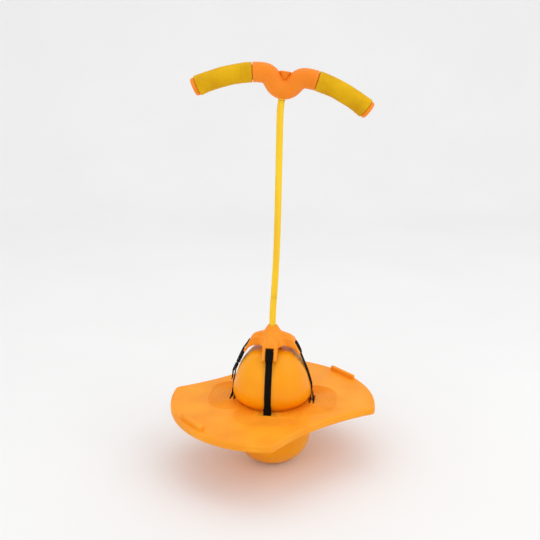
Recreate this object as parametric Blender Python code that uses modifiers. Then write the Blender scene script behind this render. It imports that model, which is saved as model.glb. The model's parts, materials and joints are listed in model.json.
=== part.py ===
"""Ball jumper: a board strapped round the waist of a two-lobed ball, with a crown,
an elastic cord and a curved handlebar.

Metres, +Z up. The origin is the centre of the ball's flat floor patch. X runs along the
board's long axis, from foot to foot, and Y runs fore and aft.
"""

import bpy
import bmesh
from math import acos, atan2, ceil, cos, hypot, pi, radians, sin
from mathutils import Matrix, Vector

OBJECT_NAME = "ball_jumper"
GAP = 0.0003                     # running gap between neighbours
ROUND_STEPS = 32                 # facets round the ball, crown and grips

# Board
DECK_TOP = 0.1386
DECK_RIM = 0.014                 # height of the rim
DECK_SKIN = 0.0034               # thickness of the tread
DECK_WALL = 0.0032               # thickness of the rim and ribs
DECK_END = 0.2140                # X at the middle of a rounded end
DECK_WAIST = 0.1516              # Y at the middle of a hollow side
DECK_CORNER = (0.133, 0.170)
DECK_CORNER_RADIUS = 0.014
DECK_HOLE = 0.0712
DECK_EDGE = 0.0022               # bevel round the board's edges
RING_RIB = 0.098                 # radius of the ring rib under the board
RADIAL_RIB = 0.0022              # thickness of the radial ribs
RIB_ROOT = 0.001                 # how far a rib is let into the tread
END_STOP = (0.009, 0.073, 0.0105)    # width, length and height of the foot stops
END_STOP_X = 0.2
END_STOP_EDGE = 0.0025
SLOT_WIDTH = 0.004
SLOT_LENGTH = 0.043
OUTER_SLOT = 0.0877              # radius of the outer strap slots
INNER_SLOT = 0.0790

# Ball, as outlines of radius and height
BALL_WALL = 0.003
UPPER_LOBE = [(0.0, 0.2520), (0.0220, 0.2508), (0.0410, 0.2462), (0.0535, 0.2340), (0.0630, 0.2220),
              (0.0720, 0.2050), (0.0780, 0.1860), (0.0812, 0.1740), (0.0820, 0.1630),
              (0.0812, 0.1550), (0.0785, 0.1480), (0.0706, 0.1388)]
LOWER_LOBE = [(0.0706, 0.1385), (0.0706, 0.1190), (0.0765, 0.0980), (0.0798, 0.0820),
              (0.0802, 0.0660), (0.0794, 0.0520), (0.0742, 0.0365), (0.0655, 0.0232),
              (0.0552, 0.0128), (0.0460, 0.0070), (0.0370, 0.0034), (0.0290, 0.0010),
              (0.0240, 0.0), (0.0, 0.0)]
VALVE_AZIMUTH = radians(100)
VALVE_AT = (0.0757, 0.1950)      # radius and height of the filling valve
VALVE_TILT = radians(70)         # its axis from the vertical
VALVE_STEM = 0.0044
VALVE_FLANGE = 0.007
VALVE_HOLE = 0.0048

# Crown
BOSS_TOP = 0.301
CORD_RADIUS = 0.00685
CORD_BORE = CORD_RADIUS + GAP
ANCHOR_RADIUS = 0.0118
ANCHOR_SEAT = 0.281              # underside of the boss, where the cord's collar bears
HUB_BOTTOM = 0.2555
ARM_WIDTH = 0.031
ARM_PLATE = 0.003
ARM_SHOULDER = (0.0415, 0.2775)
ARM_SLOPE = radians(61)
ARM_LENGTH = 0.038               # from the shoulder to the tip
FORK_LENGTH = 0.018
FORK_WIDTH = 0.017
CROWN_BAR = 0.0045
CROWN_SLOT = 0.0035
ARM_RIM = 0.003                  # thickness of the arms' side flanges
HUB_CORE = 0.0195                # radius of the hollow under the hub

# Straps
STRAP_WIDTH = 0.015
STRAP_THICKNESS = 0.0015
STRAP_OFFSET = GAP + STRAP_THICKNESS / 2     # middle of a strap from what it lies on
LAYER_PITCH = STRAP_THICKNESS + GAP          # between the middles of two layers
STRAP_TAIL = 0.014               # the sewn-down free end under the crown
BUCKLE_TAIL = 0.022              # the loose end below the buckle
STRAP_AZIMUTHS = {"strap_front": 225, "strap_right": 315, "strap_back": 45}
BUCKLE_AZIMUTH = radians(135)
BUCKLE_CENTRE = (0.0704, 0.2208)
BUCKLE_TILT = radians(24.5)      # lean of the buckle from the vertical

# Side-release buckle, in its own frame: X outward, Y across, Z towards the crown
SOCKET_SIZE = (0.008, 0.024, 0.020)
SOCKET_MOUTH = -0.003
SOCKET_NECK = (0.004, 0.022, 0.009)
BUCKLE_END = 0.0245              # half of the closed buckle's length
PLUG_THICKNESS = 0.0035
PLUG_WIDTH = 0.021
PRONG_Y = 0.0084
PRONG = (0.0042, 0.0032, 0.015)
PRONG_HEAD = (0.0042, 0.0048, 0.008)

# Cord: flex points and the route of its centre, as (sideways, height)
LEAN_WAY = Vector((0.7923, -0.6101, 0.0))      # the way the cord and handlebar lean
FLEX_LOW = 0.316
FLEX_HIGH = 0.346
CORD_END = 0.268
CORD_LEAN = [(0.0, 0.316), (0.0014, 0.346), (0.0034, 0.372), (0.0062, 0.422), (0.0084, 0.472),
             (0.0098, 0.522), (0.0108, 0.570), (0.0118, 0.617), (0.0126, 0.664), (0.0136, 0.710),
             (0.0143, 0.735)]
ANCHOR_LENGTH = 0.009            # the collar clamped round the cord's lower end

# Handlebar, in its own frame: X along the bar, Z up the cord
HANDLE_CENTRE = (0.0193, 0.775)  # sideways and height of the tube's centre in the dip
HANDLE_ROLL = radians(7.5)
TUBE_RADIUS = 0.019
TUBE_WALL = 0.003
SLEEVE_RADIUS = 0.014            # the tube inside the grips
# Half of the bar's centre line, as stretches of length and upward turn in degrees
HALF_ROUTE = [(0.0195, 52), (0.0112, 0), (0.0200, -52), (0.0200, -10), (0.0545, -12),
              (0.0545, -8.5)]
GRIP_START = sum(length for length, turn in HALF_ROUTE[:4])
BAR_END = sum(length for length, turn in HALF_ROUTE)
GRIP_RADIUS = 0.019
CAP_RADIUS = 0.0176
CAP_THICKNESS = 0.008
CAP_SPIGOT = 0.012
SHELL_SCREWS = [0.048, 0.110]    # distances along each half of the bar
SCREW_RADIUS = 0.0015
SCREW_HEAD = 0.0030
SCREW_HEAD_THICKNESS = 0.0018
SCREW_SUNK = 0.0032              # depth of a head's underside below the bar's surface
SCREW_TIP = -0.0085
SCREW_BOSS = 0.0038
CORD_TOP_BOTTOM = -0.0208
CORD_TOP_TOP = 0.0165
TOP_PLUG = [(0.0, 0.0335), (0.0102, 0.0335), (0.0113, 0.0322), (0.0069, 0.0168), (0.0, 0.0168)]
PLUG_STEM = (0.003, 0.016)       # radius and length of the stem in the cord's end


# ---------- collections, materials and shared helpers ----------

def clear_scene():
    for obj in list(bpy.data.objects):
        bpy.data.objects.remove(obj)


def new_collection(name):
    collection = bpy.data.collections.new(name)
    bpy.context.scene.collection.children.link(collection)
    return collection


clear_scene()
PARTS = new_collection(OBJECT_NAME)
CUTTERS = new_collection("cutters")


def linear(value):
    value /= 255
    return value / 12.92 if value <= 0.04045 else ((value + 0.055) / 1.055) ** 2.4


def finish(obj, colour, roughness):
    """Give a part its own material."""
    material = bpy.data.materials.new(obj.name + "_finish")
    material.use_nodes = True
    shader = material.node_tree.nodes["Principled BSDF"]
    shader.inputs["Base Color"].default_value = (*[linear(channel) for channel in colour], 1)
    shader.inputs["Roughness"].default_value = roughness
    shader.inputs["Metallic"].default_value = 0.0
    obj.data.materials.clear()
    obj.data.materials.append(material)
    return obj


ORANGE = (250, 156, 58)
BALL_YELLOW = (253, 168, 15)
GRIP_YELLOW = (225, 172, 22)
CORD_YELLOW = (250, 208, 45)
BLACK = (22, 21, 18)
STEEL = (150, 150, 152)


def link(obj, collection, parent=None):
    collection.objects.link(obj)
    obj.parent = parent
    if collection is CUTTERS:
        obj.hide_render = True
        obj.display_type = "WIRE"
    return obj


def from_bmesh(name, bm, collection, parent=None):
    mesh = bpy.data.meshes.new(name)
    bm.to_mesh(mesh)
    bm.free()
    return link(bpy.data.objects.new(name, mesh), collection, parent)


def box(name, size, centre, collection=CUTTERS, parent=None):
    bm = bmesh.new()
    bmesh.ops.create_cube(bm, size=1.0, matrix=Matrix.LocRotScale(centre, None, size))
    return from_bmesh(name, bm, collection, parent)


def sphere(name, radius, centre, collection=CUTTERS, parent=None):
    bm = bmesh.new()
    bmesh.ops.create_uvsphere(bm, u_segments=16, v_segments=10, radius=radius,
                              matrix=Matrix.Translation(centre))
    return from_bmesh(name, bm, collection, parent)


def rod(name, radius, start, end, collection=CUTTERS, parent=None, segments=16):
    start, end = Vector(start), Vector(end)
    turn = (end - start).to_track_quat("Z", "Y").to_matrix().to_4x4()
    bm = bmesh.new()
    bmesh.ops.create_cone(bm, cap_ends=True, segments=segments, radius1=radius, radius2=radius,
                          depth=(end - start).length,
                          matrix=Matrix.Translation((start + end) / 2) @ turn)
    return from_bmesh(name, bm, collection, parent)


def turned(name, profile, collection=PARTS, parent=None, steps=ROUND_STEPS, closed=False):
    """A turned solid: the profile's radius and height run down its outer side."""
    count = len(profile)
    edges = [(i, (i + 1) % count) for i in range(count if closed else count - 1)]
    mesh = bpy.data.meshes.new(name)
    mesh.from_pydata([(radius, 0, height) for radius, height in profile], edges, [])
    obj = link(bpy.data.objects.new(name, mesh), collection, parent)
    screw = obj.modifiers.new("turn", "SCREW")
    screw.steps = screw.render_steps = steps
    screw.use_merge_vertices = True
    screw.merge_threshold = 0.00001
    return obj


def flat_plate(name, points, bottom, top, collection=CUTTERS):
    """An upright plate from a flat outline."""
    curve = bpy.data.curves.new(name, "CURVE")
    curve.dimensions = "2D"
    curve.fill_mode = "BOTH"
    curve.extrude = (top - bottom) / 2
    spline = curve.splines.new("POLY")
    spline.points.add(len(points) - 1)
    for point, (x, y) in zip(spline.points, points):
        point.co = (x, y, 0, 1)
    spline.use_cyclic_u = True
    obj = link(bpy.data.objects.new(name, curve), collection)
    obj.location.z = (top + bottom) / 2
    return obj


def tube(name, points, radii, collection=CUTTERS, parent=None, resolution=4):
    """A tube along a line of points, with a radius at each point."""
    curve = bpy.data.curves.new(name, "CURVE")
    curve.dimensions = "3D"
    curve.bevel_depth = 1.0
    curve.bevel_resolution = resolution
    curve.use_fill_caps = True
    spline = curve.splines.new("POLY")
    spline.points.add(len(points) - 1)
    for point, place, radius in zip(spline.points, points, radii):
        point.co = (*place, 1)
        point.radius = radius
    return link(bpy.data.objects.new(name, curve), collection, parent)


def as_mesh(curve_object):
    """Turn a curve object into a welded mesh, ready to be cut."""
    bpy.context.view_layer.update()
    graph = bpy.context.evaluated_depsgraph_get()
    mesh = bpy.data.meshes.new_from_object(curve_object.evaluated_get(graph))
    bm = bmesh.new()
    bm.from_mesh(mesh)
    bmesh.ops.remove_doubles(bm, verts=bm.verts, dist=0.00001)
    bmesh.ops.recalc_face_normals(bm, faces=bm.faces)
    bm.to_mesh(mesh)
    bm.free()
    name, parent = curve_object.name, curve_object.parent
    collection = curve_object.users_collection[0]
    place = curve_object.matrix_basis.copy()
    bpy.data.objects.remove(curve_object)
    obj = link(bpy.data.objects.new(name, mesh), collection, parent)
    obj.matrix_basis = place
    return obj


def boolean(target, other, operation):
    modifier = target.modifiers.new(operation.lower() + "_" + other.name, "BOOLEAN")
    modifier.operation = operation
    modifier.object = other
    modifier.solver = "EXACT"


def cut(target, *cutters):
    for cutter in cutters:
        boolean(target, cutter, "DIFFERENCE")


def add(target, *pieces):
    for piece in pieces:
        boolean(target, piece, "UNION")


def round_edges(obj, width, segments=2, angle=40):
    bevel = obj.modifiers.new("round_edges", "BEVEL")
    bevel.width = width
    bevel.segments = segments
    bevel.limit_method = "ANGLE"
    bevel.angle_limit = radians(angle)


def thicken(obj, thickness, offset):
    solid = obj.modifiers.new("thickness", "SOLIDIFY")
    solid.thickness = thickness
    solid.offset = offset
    solid.use_even_offset = True


def polar(radius, azimuth, height):
    return Vector((radius * cos(azimuth), radius * sin(azimuth), height))


def smooth(obj, angle=35):
    if obj.type == "MESH" and obj.data.polygons:
        obj.data.shade_smooth()
        obj.data.set_sharp_from_angle(angle=radians(angle))
    return obj


# ---------- board ----------

def arc(centre, radius, start, end, count):
    return [(centre[0] + radius * cos(start + (end - start) * i / count),
             centre[1] + radius * sin(start + (end - start) * i / count)) for i in range(count + 1)]


def deck_outline(inset=0.0):
    """The board's outline: two bulging ends, two hollow sides and four rounded corners."""
    corner_x, corner_y = DECK_CORNER
    end_rise = DECK_END - corner_x
    end_radius = (corner_y ** 2 + end_rise ** 2) / (2 * end_rise)
    end_centre = DECK_END - end_radius
    side_dip = corner_y - DECK_WAIST
    side_radius = (corner_x ** 2 + side_dip ** 2) / (2 * side_dip)
    side_centre = DECK_WAIST + side_radius
    reach_end = end_radius - DECK_CORNER_RADIUS
    reach_side = side_radius + DECK_CORNER_RADIUS
    apart = hypot(end_centre, side_centre)
    bend = acos((reach_end ** 2 + apart ** 2 - reach_side ** 2) / (2 * reach_end * apart))
    lift = atan2(side_centre, -end_centre) - bend
    corner = (end_centre + reach_end * cos(lift), reach_end * sin(lift))
    side_angle = atan2(corner[1] - side_centre, corner[0])
    corner_radius = DECK_CORNER_RADIUS - inset
    quarter = arc((end_centre, 0), end_radius - inset, 0, lift, 7)
    quarter += arc(corner, corner_radius, lift, side_angle + pi, 3)[1:]
    quarter += arc((0, side_centre), side_radius + inset, side_angle, -pi / 2, 5)[1:]
    half = quarter + [(-x, y) for x, y in reversed(quarter[:-1])]
    return half + [(x, -y) for x, y in reversed(half[1:-1])]


def build_deck():
    bottom = DECK_TOP - DECK_RIM
    under_skin = DECK_TOP - DECK_SKIN
    deck = as_mesh(flat_plate("deck", deck_outline(), bottom, DECK_TOP, PARTS))
    round_edges(deck, DECK_EDGE, angle=60)
    cut(deck, as_mesh(flat_plate("deck_pocket", deck_outline(DECK_WALL), bottom - 0.01, under_skin)))
    rib_top = under_skin + RIB_ROOT
    for name, radius in (("collar", DECK_HOLE + DECK_WALL / 2), ("ring_rib", RING_RIB)):
        inner, outer = radius - DECK_WALL / 2, radius + DECK_WALL / 2
        profile = [(inner, rib_top), (outer, rib_top), (outer, bottom), (inner, bottom)]
        add(deck, turned(name, profile, CUTTERS, closed=True))
    rib_depth = rib_top - bottom
    rib_centre = (rib_top + bottom) / 2
    for azimuth in range(0, 360, 30):
        reach = outline_reach(radians(azimuth)) - DECK_WALL / 2
        start = RING_RIB if azimuth % 90 else DECK_HOLE + DECK_WALL / 2
        rib = box("rib_%d" % azimuth, (reach - start, RADIAL_RIB, rib_depth),
                  ((reach + start) / 2, 0, rib_centre))
        rib.rotation_euler.z = radians(azimuth)
        add(deck, rib)
    width, length, height = END_STOP
    for side in (-1, 1):
        stop = box("foot_stop", (width, length, height + 2 * RIB_ROOT),
                   (side * END_STOP_X, 0, DECK_TOP + height / 2 - RIB_ROOT))
        round_edges(stop, END_STOP_EDGE)
        add(deck, stop)
    cut(deck, rod("waist_hole", DECK_HOLE, (0, 0, bottom - 0.02), (0, 0, DECK_TOP + 0.02), segments=48))
    for azimuth in (45, 135, 225, 315):
        for radius in (INNER_SLOT, OUTER_SLOT):
            slot = box("strap_slot", (SLOT_WIDTH, SLOT_LENGTH, 0.02), (radius, 0, DECK_TOP))
            slot.rotation_euler.z = radians(azimuth)
            cut(deck, slot)
    return smooth(finish(deck, ORANGE, 0.42))


def outline_reach(azimuth):
    """Distance from the axis to the board's edge in one direction."""
    best = min(deck_outline(), key=lambda p: abs((atan2(p[1], p[0]) - azimuth + pi) % (2 * pi) - pi))
    return hypot(*best)


# ---------- ball ----------

def build_ball():
    upper = turned("ball_upper_lobe", UPPER_LOBE)
    lower = turned("ball_lower_lobe", LOWER_LOBE)
    for lobe in (upper, lower):
        thicken(lobe, BALL_WALL, -1)
        smooth(finish(lobe, BALL_YELLOW, 0.35))
    frame = bpy.data.objects.new("valve_frame", None)
    link(frame, PARTS)
    frame.location = polar(VALVE_AT[0], VALVE_AZIMUTH, VALVE_AT[1])
    frame.rotation_euler = (0, VALVE_TILT, VALVE_AZIMUTH)
    cut(upper, rod("valve_hole", VALVE_HOLE, (0, 0, -0.01), (0, 0, 0.01), parent=frame))
    profile = [(0, 0.0018), (VALVE_FLANGE - 0.0006, 0.0018), (VALVE_FLANGE, 0.0012),
               (VALVE_FLANGE, 0.0006), (VALVE_STEM, 0.0006), (VALVE_STEM, -0.0050), (0, -0.0050)]
    smooth(finish(turned("valve_plug", profile, parent=frame, steps=20), BALL_YELLOW, 0.4))
    return frame


# ---------- crown ----------

def slope_point(along, outward):
    """A point by its distance down a crown arm's slope and out from its top face."""
    return (ARM_SHOULDER[0] + along * cos(ARM_SLOPE) + outward * sin(ARM_SLOPE),
            ARM_SHOULDER[1] - along * sin(ARM_SLOPE) + outward * cos(ARM_SLOPE))


def radial_plate(name, outline, width, azimuth, collection=CUTTERS):
    """A plate whose outline lies in an upright plane through the axis."""
    plate = as_mesh(flat_plate(name, outline, -width / 2, width / 2, collection))
    plate.rotation_euler = (pi / 2, 0, azimuth)
    return plate


def crown_gaps():
    """Where the strap slot and the fork's opening begin and end down an arm's slope."""
    fork_start = ARM_LENGTH - FORK_LENGTH
    slot_end = fork_start - CROWN_BAR
    return [("crown_slot", slot_end - CROWN_SLOT, slot_end), ("fork_gap", fork_start, ARM_LENGTH + 0.02)]


def build_crown():
    crown = turned("crown", [(0, BOSS_TOP), (0.0092, BOSS_TOP), (0.0105, 0.2995), (0.0165, 0.2895),
                             (0.0190, 0.2860), (0.0215, 0.2820), (0.0230, 0.2760),
                             (0.0230, HUB_BOTTOM), (0, HUB_BOTTOM)])
    tip = slope_point(ARM_LENGTH, 0)
    arm_top = [(0.0090, 0.2865), (0.0220, 0.2862), (0.0380, 0.2803), ARM_SHOULDER, tip]
    arm_edge = [slope_point(ARM_LENGTH, -0.0045), (0.0480, 0.2520), (0.0360, 0.2575),
                (0.0230, 0.2600), (0.0090, 0.2600)]
    channel = [(0.0245, 0.2825), (0.0372, 0.2774), slope_point(0.0015, -ARM_PLATE),
               slope_point(ARM_LENGTH + 0.01, -ARM_PLATE), (0.0560, 0.2200), (0.0245, 0.2200)]
    cutters = []
    for azimuth in (radians(45 + 90 * i) for i in range(4)):
        arm = radial_plate("crown_arm", arm_top + arm_edge, ARM_WIDTH, azimuth)
        round_edges(arm, 0.0012, segments=1, angle=70)
        add(crown, arm)
        cutters.append(radial_plate("arm_channel", channel, ARM_WIDTH - 2 * ARM_RIM, azimuth))
        for name, start, end in crown_gaps():
            outline = [slope_point(start, 0.02), slope_point(end, 0.02),
                       slope_point(end, -0.02), slope_point(start, -0.02)]
            cutters.append(radial_plate(name, outline, FORK_WIDTH, azimuth))
    cut(crown, *cutters)
    core = turned("hub_core", [(0, 0.2600), (HUB_CORE, 0.2600), (HUB_CORE, 0.2400), (0, 0.2400)],
                  CUTTERS, steps=24)
    bore = rod("cord_bore", CORD_BORE, (0, 0, 0.25), (0, 0, BOSS_TOP + 0.01), segments=24)
    seat = rod("anchor_seat", ANCHOR_RADIUS + 2 * GAP, (0, 0, 0.25), (0, 0, ANCHOR_SEAT), segments=24)
    cut(crown, core, seat, bore)
    return smooth(finish(crown, ORANGE, 0.4))


# ---------- straps ----------

def webbing(name, route, azimuth, closed=False):
    """Flat webbing that follows a route in an upright plane through the axis."""
    half = STRAP_WIDTH / 2
    verts = [(radius, side, height) for radius, height in route for side in (-half, half)]
    count = len(route)
    spans = count if closed else count - 1
    faces = []
    for i in range(spans):
        j = (i + 1) % count
        faces.append((2 * i, 2 * i + 1, 2 * j + 1, 2 * j))
    mesh = bpy.data.meshes.new(name)
    mesh.from_pydata(verts, [], faces)
    strap = link(bpy.data.objects.new(name, mesh), PARTS)
    strap.rotation_euler.z = azimuth
    thicken(strap, STRAP_THICKNESS, 0)
    return finish(strap, BLACK, 0.85)


def crown_loop():
    """Round the crown's bar: up behind it, out through the slot and down its face."""
    bar_top = ARM_LENGTH - FORK_LENGTH - CROWN_BAR - STRAP_OFFSET
    bar_end = ARM_LENGTH - FORK_LENGTH + 0.0005
    behind = -ARM_PLATE - STRAP_OFFSET
    return [slope_point(bar_end, behind), slope_point(bar_top, behind),
            slope_point(bar_top, STRAP_OFFSET), slope_point(bar_end, STRAP_OFFSET)]


def join_point():
    """Where the two layers under the crown's bar come together."""
    return slope_point(ARM_LENGTH - FORK_LENGTH + 0.006, STRAP_OFFSET - LAYER_PITCH)


def beside(start, end, along, outward):
    """A point a distance along a line and out from it."""
    reach = hypot(end[0] - start[0], end[1] - start[1])
    way = ((end[0] - start[0]) / reach, (end[1] - start[1]) / reach)
    return (start[0] + along * way[0] - outward * way[1], start[1] + along * way[1] + outward * way[0])


def ball_contact(lowest, highest):
    """The route over the ball's bulge, just clear of it, from the top down."""
    clear = GAP + STRAP_THICKNESS / 2 + 0.0002
    route = []
    for i in range(1, len(UPPER_LOBE) - 1):
        before, here, after = UPPER_LOBE[i - 1], UPPER_LOBE[i], UPPER_LOBE[i + 1]
        if lowest <= here[1] <= highest:
            run = hypot(after[0] - before[0], after[1] - before[1])
            normal = ((before[1] - after[1]) / run, (after[0] - before[0]) / run)
            route.append((here[0] + clear * normal[0], here[1] + clear * normal[1]))
    return route


def deck_loop():
    """Down the inner slot, under the bar, up the outer slot and back beside the strap."""
    inner = INNER_SLOT + SLOT_WIDTH / 2 - STRAP_OFFSET
    outer = OUTER_SLOT - SLOT_WIDTH / 2 + STRAP_OFFSET
    under = DECK_TOP - DECK_SKIN - STRAP_OFFSET
    return [(0.0830, 0.1550), (0.0813, 0.1465), (inner, 0.1405), (inner, under), (outer, under),
            (outer, 0.1405), (0.0852, 0.1475), (0.0849, 0.1550)]


def plain_route():
    contact = ball_contact(0.160, 0.206)
    join = join_point()
    tail_end = beside(join, contact[0], STRAP_TAIL, LAYER_PITCH)
    tail_start = beside(join, contact[0], 0.0005, LAYER_PITCH)
    return [tail_end, tail_start] + list(reversed(crown_loop())) + [join] + contact + deck_loop()


def buckle_point(outward, along):
    """A point of the buckle's own frame as radius and height."""
    return (BUCKLE_CENTRE[0] + outward * cos(BUCKLE_TILT) - along * sin(BUCKLE_TILT),
            BUCKLE_CENTRE[1] + outward * sin(BUCKLE_TILT) + along * cos(BUCKLE_TILT))


def build_straps():
    for name, azimuth in STRAP_AZIMUTHS.items():
        webbing(name, plain_route(), radians(azimuth))
    face = SOCKET_NECK[0] / 2 + STRAP_OFFSET
    slot = BUCKLE_END - 0.004 - STRAP_OFFSET
    socket_loop = [buckle_point(face, BUCKLE_END), buckle_point(face, slot),
                   buckle_point(-face, slot), buckle_point(-face, BUCKLE_END)]
    webbing("strap_left_upper", crown_loop() + socket_loop, BUCKLE_AZIMUTH, closed=True)
    face = PLUG_THICKNESS / 2 + STRAP_OFFSET
    contact = ball_contact(0.160, 0.176)
    inside = buckle_point(-face, -BUCKLE_END)
    tail = [beside(inside, contact[0], BUCKLE_TAIL, 2 * LAYER_PITCH), buckle_point(face, -BUCKLE_END)]
    over_bars = [buckle_point(face, -0.0135 + STRAP_OFFSET), buckle_point(-face, -0.0135 + STRAP_OFFSET)]
    webbing("strap_left_lower", tail + over_bars + [inside] + contact + deck_loop(), BUCKLE_AZIMUTH)


# ---------- side-release buckle ----------

def build_buckle():
    frame = bpy.data.objects.new("buckle_frame", None)
    link(frame, PARTS)
    frame.location = polar(BUCKLE_CENTRE[0], BUCKLE_AZIMUTH, BUCKLE_CENTRE[1])
    frame.rotation_euler = (0, -BUCKLE_TILT, BUCKLE_AZIMUTH)
    build_buckle_socket(frame)
    build_buckle_plug(frame)
    for name, side in (("buckle_prong_front", 1), ("buckle_prong_rear", -1)):
        prong = box(name, PRONG, (0, 0, PRONG[2] / 2), PARTS, frame)
        prong.location = (0, side * PRONG_Y, SOCKET_MOUTH)
        head = box(name + "_head", PRONG_HEAD, (0, side * PRONG_HEAD[1] / 2, 0.009), parent=prong)
        head.location.y = side * -PRONG[1] / 2
        add(prong, head)
        finish(prong, BLACK, 0.45)


def build_buckle_socket(frame):
    depth, width, height = SOCKET_SIZE
    socket = box("buckle_socket", SOCKET_SIZE, (0, 0, SOCKET_MOUTH + height / 2), PARTS, frame)
    round_edges(socket, 0.0012, segments=1)
    neck = box("socket_neck", SOCKET_NECK, (0, 0, BUCKLE_END - SOCKET_NECK[2] / 2), parent=frame)
    add(socket, neck)
    cavity_size = (0.0050, width - 0.0032, height - 0.002)
    cavity = box("socket_cavity", cavity_size, (0, 0, SOCKET_MOUTH - 0.002 + cavity_size[2] / 2),
                 parent=frame)
    window = box("socket_windows", (0.0050, width + 0.01, 0.0100), (0, 0, 0.006), parent=frame)
    slot = box("socket_slot", (0.02, FORK_WIDTH, 0.0032), (0, 0, BUCKLE_END - 0.0056), parent=frame)
    cut(socket, cavity, window, slot)
    finish(socket, BLACK, 0.45)


def build_buckle_plug(frame):
    base_top = SOCKET_MOUTH - GAP
    base_length = BUCKLE_END + base_top
    plug = box("buckle_plug", (PLUG_THICKNESS, PLUG_WIDTH, base_length),
               (0, 0, -BUCKLE_END + base_length / 2), PARTS, frame)
    tongue = box("plug_tongue", (0.0040, 0.0070, 0.0150), (0, 0, base_top + 0.0070), parent=frame)
    add(plug, tongue)
    for height in (-0.0119, -0.0188):
        cut(plug, box("ladder_slot", (0.02, FORK_WIDTH, 0.0032), (0, 0, height), parent=frame))
    finish(plug, BLACK, 0.45)


# ---------- cord ----------

def cord_place(sideways, height):
    return LEAN_WAY * sideways + Vector((0, 0, height))


def cup(radius, count=5):
    """A hollow end that the next length's round end turns in, as radius and height."""
    reach = radius + GAP
    last = acos(radius / 2 / reach)
    return [(reach * sin(last * i / count), -reach * cos(last * i / count)) for i in range(count + 1)]


def round_end(radius, count=5):
    return [(radius * cos(pi / 2 * i / count), -radius * sin(pi / 2 * i / count))
            for i in range(count + 1)]


def build_cord_root():
    low = turned("cord_root_section", cup(CORD_RADIUS) + [(CORD_RADIUS, -CORD_RADIUS / 2),
                 (CORD_RADIUS, CORD_END - FLEX_LOW), (0, CORD_END - FLEX_LOW)], steps=16)
    low.location.z = FLEX_LOW
    smooth(finish(low, CORD_YELLOW, 0.4))
    collar_top, collar_bottom = ANCHOR_SEAT - GAP, ANCHOR_SEAT - ANCHOR_LENGTH
    collar = turned("cord_anchor_collar",
                    [(CORD_BORE, collar_top), (ANCHOR_RADIUS, collar_top),
                     (ANCHOR_RADIUS, collar_bottom + 0.001), (ANCHOR_RADIUS - 0.001, collar_bottom),
                     (CORD_BORE, collar_bottom)], closed=True, steps=24)
    smooth(finish(collar, BLACK, 0.5))


def build_cord_flex():
    start = cord_place(*CORD_LEAN[0])
    end = cord_place(*CORD_LEAN[1])
    length = (end - start).length
    top = [(radius, height + length) for radius, height in cup(CORD_RADIUS)]
    side = [(CORD_RADIUS, length - CORD_RADIUS / 2)]
    flex = turned("cord_flex_section", top + side + round_end(CORD_RADIUS), steps=16)
    flex.location = start
    flex.rotation_euler = (end - start).to_track_quat("Z", "Y").to_euler()
    smooth(finish(flex, CORD_YELLOW, 0.4))


def build_cord_main(handle):
    top = handle @ Vector((0, 0, CORD_TOP_BOTTOM - GAP))
    route = [cord_place(*place) for place in CORD_LEAN[1:]] + [top]
    main = as_mesh(tube("cord_main_section", route, [CORD_RADIUS] * len(route), PARTS))
    add(main, sphere("cord_main_round_end", CORD_RADIUS, route[0]))
    return smooth(finish(main, CORD_YELLOW, 0.4))


def build_cord_top(frame):
    stem_radius, stem_length = PLUG_STEM
    bore = stem_radius + GAP
    bore_end = CORD_TOP_TOP - stem_length - GAP
    section = turned("cord_top_section",
                     [(0, bore_end), (bore, bore_end), (bore, CORD_TOP_TOP), (CORD_RADIUS, CORD_TOP_TOP),
                      (CORD_RADIUS, CORD_TOP_BOTTOM), (0, CORD_TOP_BOTTOM)], parent=frame, steps=16)
    smooth(finish(section, CORD_YELLOW, 0.4))
    stem = [(stem_radius, TOP_PLUG[-1][1]), (stem_radius, CORD_TOP_TOP - stem_length),
            (0, CORD_TOP_TOP - stem_length)]
    plug = turned("cord_top_plug", TOP_PLUG[:-1] + stem, parent=frame, steps=24)
    smooth(finish(plug, ORANGE, 0.4))


# ---------- handlebar ----------

def handle_matrix():
    place = cord_place(*HANDLE_CENTRE)
    along = LEAN_WAY * cos(HANDLE_ROLL) - Vector((0, 0, sin(HANDLE_ROLL)))
    up = LEAN_WAY * sin(HANDLE_ROLL) + Vector((0, 0, cos(HANDLE_ROLL)))
    turn = Matrix((along, up.cross(along), up)).transposed().to_4x4()
    return Matrix.Translation(place) @ turn


def bar_path(distance):
    """The centre line's point and heading at a distance along the right half of the bar."""
    point, heading = Vector((0, 0, 0)), 0.0
    for length, turn in HALF_ROUTE:
        part = max(0.0, min(distance, length))
        angle = radians(turn) * part / length
        chord = part * sin(angle / 2) / (angle / 2) if angle else part
        middle = heading + angle / 2
        point = point + Vector((cos(middle), 0, sin(middle))) * chord
        heading += angle
        distance -= part
    return point, heading


def bar_points(start, end, spacing):
    count = ceil((end - start) / spacing)
    return [bar_path(start + (end - start) * i / count)[0] for i in range(count + 1)]


def mirrored(points):
    return [Vector((-point.x, point.y, point.z)) for point in reversed(points)]


def whole_bar(name, frame, centre_radius, sleeve_radius, extra):
    """A tube along the whole bar, wider in the middle than inside the grips."""
    centre = bar_points(0, GRIP_START, 0.0065)
    sleeve = bar_points(GRIP_START + 0.0002, BAR_END, 0.014)
    sleeve[-1] += (sleeve[-1] - sleeve[-2]).normalized() * extra
    half = centre + sleeve
    radii = [centre_radius] * len(centre) + [sleeve_radius] * len(sleeve)
    return as_mesh(tube(name, mirrored(half[1:]) + half, radii[:0:-1] + radii, parent=frame))


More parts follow.
